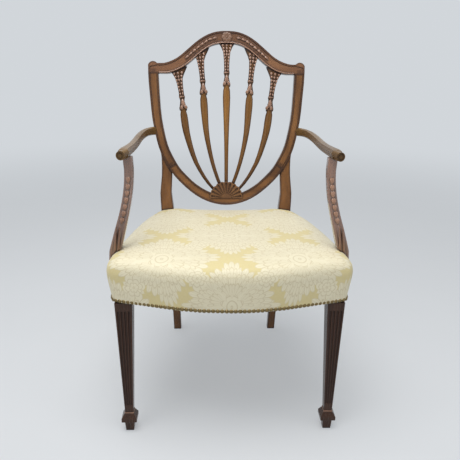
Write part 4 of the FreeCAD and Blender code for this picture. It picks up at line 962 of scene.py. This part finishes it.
near_x = from_centre(0, 0.0, DAMASK_ACROSS)
near_y = from_centre(1, DAMASK_START, DAMASK_ALONG)
drop_x = from_centre(0, DAMASK_ACROSS / 2, DAMASK_ACROSS)
drop_y = from_centre(1, DAMASK_START + DAMASK_ALONG / 2, DAMASK_ALONG)
dropped = silk("LESS_THAN", diamond(drop_x, drop_y), diamond(near_x, near_y))
local_x, local_y = (silk("MULTIPLY_ADD", dropped, silk("SUBTRACT", drop_place, near), near)
                    for near, drop_place in ((near_x, drop_x), (near_y, drop_y)))
local_x = silk("ABSOLUTE", local_x)
folded = node(damask_tree, "ShaderNodeCombineXYZ")
damask_tree.links.new(local_x, folded.inputs[0])
damask_tree.links.new(local_y, folded.inputs[1])
from_middle = node(damask_tree, "ShaderNodeVectorMath", operation="LENGTH")
damask_tree.links.new(folded.outputs[0], from_middle.inputs[0])
body_out = from_middle.outputs["Value"]
turn_round = silk("ARCTAN2", local_y, local_x)

body_edge = scalloped(turn_round, *BODY)[1]
body_mask = silk("MULTIPLY", silk("SUBTRACT", body_edge, body_out), FIGURE_EDGE, clamp=True)
rosette_x = silk("SUBTRACT", local_x, DAMASK_ACROSS / 4)
rosette_y = silk("SUBTRACT", silk("ABSOLUTE", local_y), DAMASK_ALONG / 4)
rosette_out = silk("SQRT", silk("ADD", silk("MULTIPLY", rosette_x, rosette_x),
                                silk("MULTIPLY", rosette_y, rosette_y)))
rosette_scallop, rosette_edge = scalloped(silk("ARCTAN2", rosette_y, rosette_x), *ROSETTE)
rosette_mask = silk("MULTIPLY", silk("SUBTRACT", rosette_edge, rosette_out), FIGURE_EDGE, clamp=True)
rosette_rings = ringed(silk("DIVIDE", rosette_out, rosette_edge), ROSETTE_RINGS)
rosette_rays = contrast(damask_tree, rosette_scallop, *ROSETTE_RAYS)
figure_mask = silk("MAXIMUM", body_mask, rosette_mask)
vein_mask = 0.0
for x, y, angle, length, spread_out, lobes in MEDALLION_PALMETTES:
    palmette = node(damask_tree, "ShaderNodeGroup", node_tree=palmette_group)
    damask_tree.links.new(folded.outputs[0], palmette.inputs["Vector"])
    parts = (x, y, math.radians(angle), length, math.radians(spread_out), lobes)
    for label, value in zip(PALMETTE_PARTS, parts):
        palmette.inputs[label].default_value = value
    figure_mask = silk("MAXIMUM", palmette.outputs["Figure"], figure_mask)
    vein_mask = laid_over(palmette.outputs["Figure"], palmette.outputs["Vein"], vein_mask)
rosette_vein = silk("MULTIPLY", rosette_mask, silk("MAXIMUM", rosette_rings, rosette_rays))
vein_mask = laid_over(rosette_mask, rosette_vein, vein_mask)
flower_in = silk("SUBTRACT", scalloped(turn_round, *FLOWER)[1], body_out)
flower_mask = silk("MULTIPLY", flower_in, FIGURE_EDGE, clamp=True)
flower_edge = contrast(damask_tree, silk("ABSOLUTE", flower_in), -FIGURE_EDGE, 1.0)
flower_line = silk("MAXIMUM", flower_edge, silk("MULTIPLY", flower_mask, ringed(body_out, FLOWER_RINGS)))
figure_mask = silk("MAXIMUM", figure_mask, flower_mask)
vein_mask = silk("MULTIPLY", vein_mask, silk("SUBTRACT", 1.0, flower_mask))
vein_mask = silk("MAXIMUM", vein_mask, flower_line)

cloth_colour = blended(damask_tree, figure_mask, GOLD, CREAM)
cloth_colour = blended(damask_tree, silk("MULTIPLY", vein_mask, VEIN_SHARE), cloth_colour, VEIN)
slub = noise(damask_tree, fabric, *SLUB_NOISE)
cloth_colour = blended(damask_tree, silk("MULTIPLY", slub, SLUB_SHARE), cloth_colour, SLUB_PALE)
damask_tree.links.new(cloth_colour, damask_shader.inputs["Base Color"])
silk_roughness = silk("MULTIPLY_ADD", figure_mask, *SILK_ROUGHNESS)
damask_tree.links.new(silk_roughness, damask_shader.inputs["Roughness"])
damask_shader.inputs["Sheen Weight"].default_value = 0.25
threads = node(damask_tree, "ShaderNodeGroup", node_tree=weave_group)
threads.inputs["Threads"].default_value = SILK_THREADS
damask_tree.links.new(fabric, threads.inputs["Vector"])
relief = silk("ADD", silk("MULTIPLY", figure_mask, FIGURE_RELIEF),
              silk("MULTIPLY", threads.outputs["Height"], THREAD_RELIEF))
raised(damask_tree, damask_shader, relief, *DAMASK_BUMP)

# Brass nails. Domed heads stand close in a row along the cover's lower edge, each knocked in by
# hand, so no two sit quite alike, and the brass has dulled between them.
BRASS_NOISE = (420.0, 3.0)
BRASS_DARK = (0.070, 0.048, 0.020)
BRASS_LIGHT = (0.36, 0.27, 0.125)
BRASS_ROUGHNESS = (0.35, 0.22)
NAIL_RADIUS = 0.0055
NAIL_RISE = 0.0042
NAIL_TILT = 0.10

brass = worn_metal("antiqued_brass", BRASS_NOISE, BRASS_DARK, BRASS_LIGHT, BRASS_ROUGHNESS)
random.seed(7)
heads = joined_solid("brass_nails")
unseen = set(heads.verts)
seats_of_nails = []
while unseen:
    island = {unseen.pop()}
    front = list(island)
    while front:
        vert = front.pop()
        for edge in vert.link_edges:
            other = edge.other_vert(vert)
            if other not in island:
                island.add(other)
                front.append(other)
    unseen -= island
    faces = {face for vert in island for face in vert.link_faces}
    base = max(faces, key=lambda face: face.calc_area())
    seats_of_nails.append((base.calc_center_median(), -base.normal))
heads.free()
seats_of_nails.sort(key=lambda entry: (round(entry[0].x, 5), round(entry[0].y, 5)))
nails = bmesh.new()
for place, outward in seats_of_nails:
    tilt = Vector((random.uniform(-1, 1), random.uniform(-1, 1), random.uniform(-1, 1))) * NAIL_TILT
    head_frame = turned_frame(place, Vector((0, 0, 1)), outward + tilt)
    dome = bmesh.ops.create_uvsphere(nails, u_segments=12, v_segments=6, radius=1.0)["verts"]
    bmesh.ops.scale(nails, vec=(NAIL_RADIUS, NAIL_RADIUS, NAIL_RISE), verts=dome)
    bmesh.ops.transform(nails, matrix=head_frame, verts=dome)
for face in nails.faces:
    face.smooth = True
nail_row = piece_from("domed_brass_nails", nails, brass)
fitted(nail_row, "nail_brass", "brass_nails")

# Room. A pale floor that runs out of sight, soft light from above and the front, and the camera
# at the photograph's viewpoint, a little left of the middle and looking down on the seat.
EYE = Vector((-0.04587, -1.42664, 0.92563))
EYE_YAW = math.radians(2.03)
EYE_PITCH = math.radians(19.39)
EYE_ROLL = math.radians(0.74)
EYE_LENS = 42.51
EYE_SHIFT = (0.0013, 0.0177)

PALE = (0.80, 0.84, 0.88)
FLOOR_DARK = (0.78, 0.79, 0.80)
FLOOR_LIGHT = (0.82, 0.83, 0.84)
FLOOR_NOISE = 3.0
FLOOR_HALF = 12.0
FLOOR_GLOW = 0.5
FLOOR_FADE = (1.2, 4.5)
BACKDROP_LEVEL = 0.80
STUDIO_LEVEL = 0.32
LAMP_AIM = Vector((0, 0, 0.5))
# Name, place, size and power of each lamp
LAMPS = (("overhead_softbox", (-0.3, -0.5, 2.6), 1.8, 54.0),
         ("front_softbox", (-1.5, -2.0, 1.5), 1.2, 6.0),
         ("fill_softbox", (1.9, -1.2, 1.2), 1.2, 5.0))

floor_finish, floor_tree, floor_shader = material("pale_floor")
floor_shader.inputs["Roughness"].default_value = 0.9
floor_noise = noise(floor_tree, placed_pattern(floor_tree, (1, 1, 1)), FLOOR_NOISE)
floor_tree.links.new(blended(floor_tree, floor_noise, FLOOR_DARK, FLOOR_LIGHT),
                     floor_shader.inputs["Base Color"])
floor_seen = node(floor_tree, "ShaderNodeLightPath")
floor_glow = node(floor_tree, "ShaderNodeEmission", in_0=(*PALE, 1.0), in_1=BACKDROP_LEVEL)
floor_mix = node(floor_tree, "ShaderNodeMixShader")

def backdrop_rays(tree, rays):
    """1 for a ray that sees the backdrop as it looks: from the camera, or off metal and glass."""
    shown = sums(tree, "MAXIMUM", rays.outputs["Is Camera Ray"], rays.outputs["Is Glossy Ray"])
    return sums(tree, "MAXIMUM", shown, rays.outputs["Is Transmission Ray"])


floor_place = node(floor_tree, "ShaderNodeTexCoord")
floor_far = node(floor_tree, "ShaderNodeVectorMath", operation="LENGTH")
floor_tree.links.new(floor_place.outputs["Object"], floor_far.inputs[0])
fade = node(floor_tree, "ShaderNodeMapRange", interpolation_type="SMOOTHSTEP", in_1=FLOOR_FADE[0],
            in_2=FLOOR_FADE[1], in_3=FLOOR_GLOW, in_4=1.0)
floor_tree.links.new(floor_far.outputs["Value"], fade.inputs[0])
shown_glow = sums(floor_tree, "MULTIPLY", backdrop_rays(floor_tree, floor_seen), fade.outputs[0])
floor_tree.links.new(shown_glow, floor_mix.inputs[0])
floor_tree.links.new(floor_shader.outputs[0], floor_mix.inputs[1])
floor_tree.links.new(floor_glow.outputs[0], floor_mix.inputs[2])
floor_tree.links.new(floor_mix.outputs[0], floor_tree.nodes["Material Output"].inputs["Surface"])
ground = bmesh.new()
bmesh.ops.create_grid(ground, x_segments=2, y_segments=2, size=FLOOR_HALF)
floor = piece_from("floor", ground, floor_finish)

world = bpy.data.worlds.new("studio")
bpy.context.scene.world = world
world.use_nodes = True
sky = world.node_tree
seen = node(sky, "ShaderNodeLightPath")
backdrop = sky.nodes["Background"]
backdrop.inputs["Color"].default_value = (*PALE, 1.0)
sky.links.new(sums(sky, "MULTIPLY_ADD", backdrop_rays(sky, seen),
                   BACKDROP_LEVEL - STUDIO_LEVEL, STUDIO_LEVEL), backdrop.inputs["Strength"])

for name, place, size, power in LAMPS:
    lamp = bpy.data.lights.new(name, "AREA")
    lamp.size = size
    lamp.energy = power
    light = placed_object(name, lamp)
    light.location = place
    light.rotation_euler = (LAMP_AIM - Vector(place)).to_track_quat("-Z", "Y").to_euler()

ahead = Vector((math.sin(EYE_YAW) * math.cos(EYE_PITCH), math.cos(EYE_YAW) * math.cos(EYE_PITCH),
                -math.sin(EYE_PITCH)))
level = Vector((math.cos(EYE_YAW), -math.sin(EYE_YAW), 0.0))
above = level.cross(ahead)
right = level * math.cos(EYE_ROLL) + above * math.sin(EYE_ROLL)
upward = above * math.cos(EYE_ROLL) - level * math.sin(EYE_ROLL)
lens = bpy.data.cameras.new("camera")
lens.sensor_width = 36.0
lens.lens = EYE_LENS
lens.shift_x, lens.shift_y = EYE_SHIFT
camera = placed_object("camera", lens)
camera.matrix_world = Matrix.Translation(EYE) @ Matrix((right, upward, -ahead)).transposed().to_4x4()
bpy.context.scene.camera = camera
bpy.context.scene.view_settings.view_transform = "Standard"

bpy.context.view_layer.update()
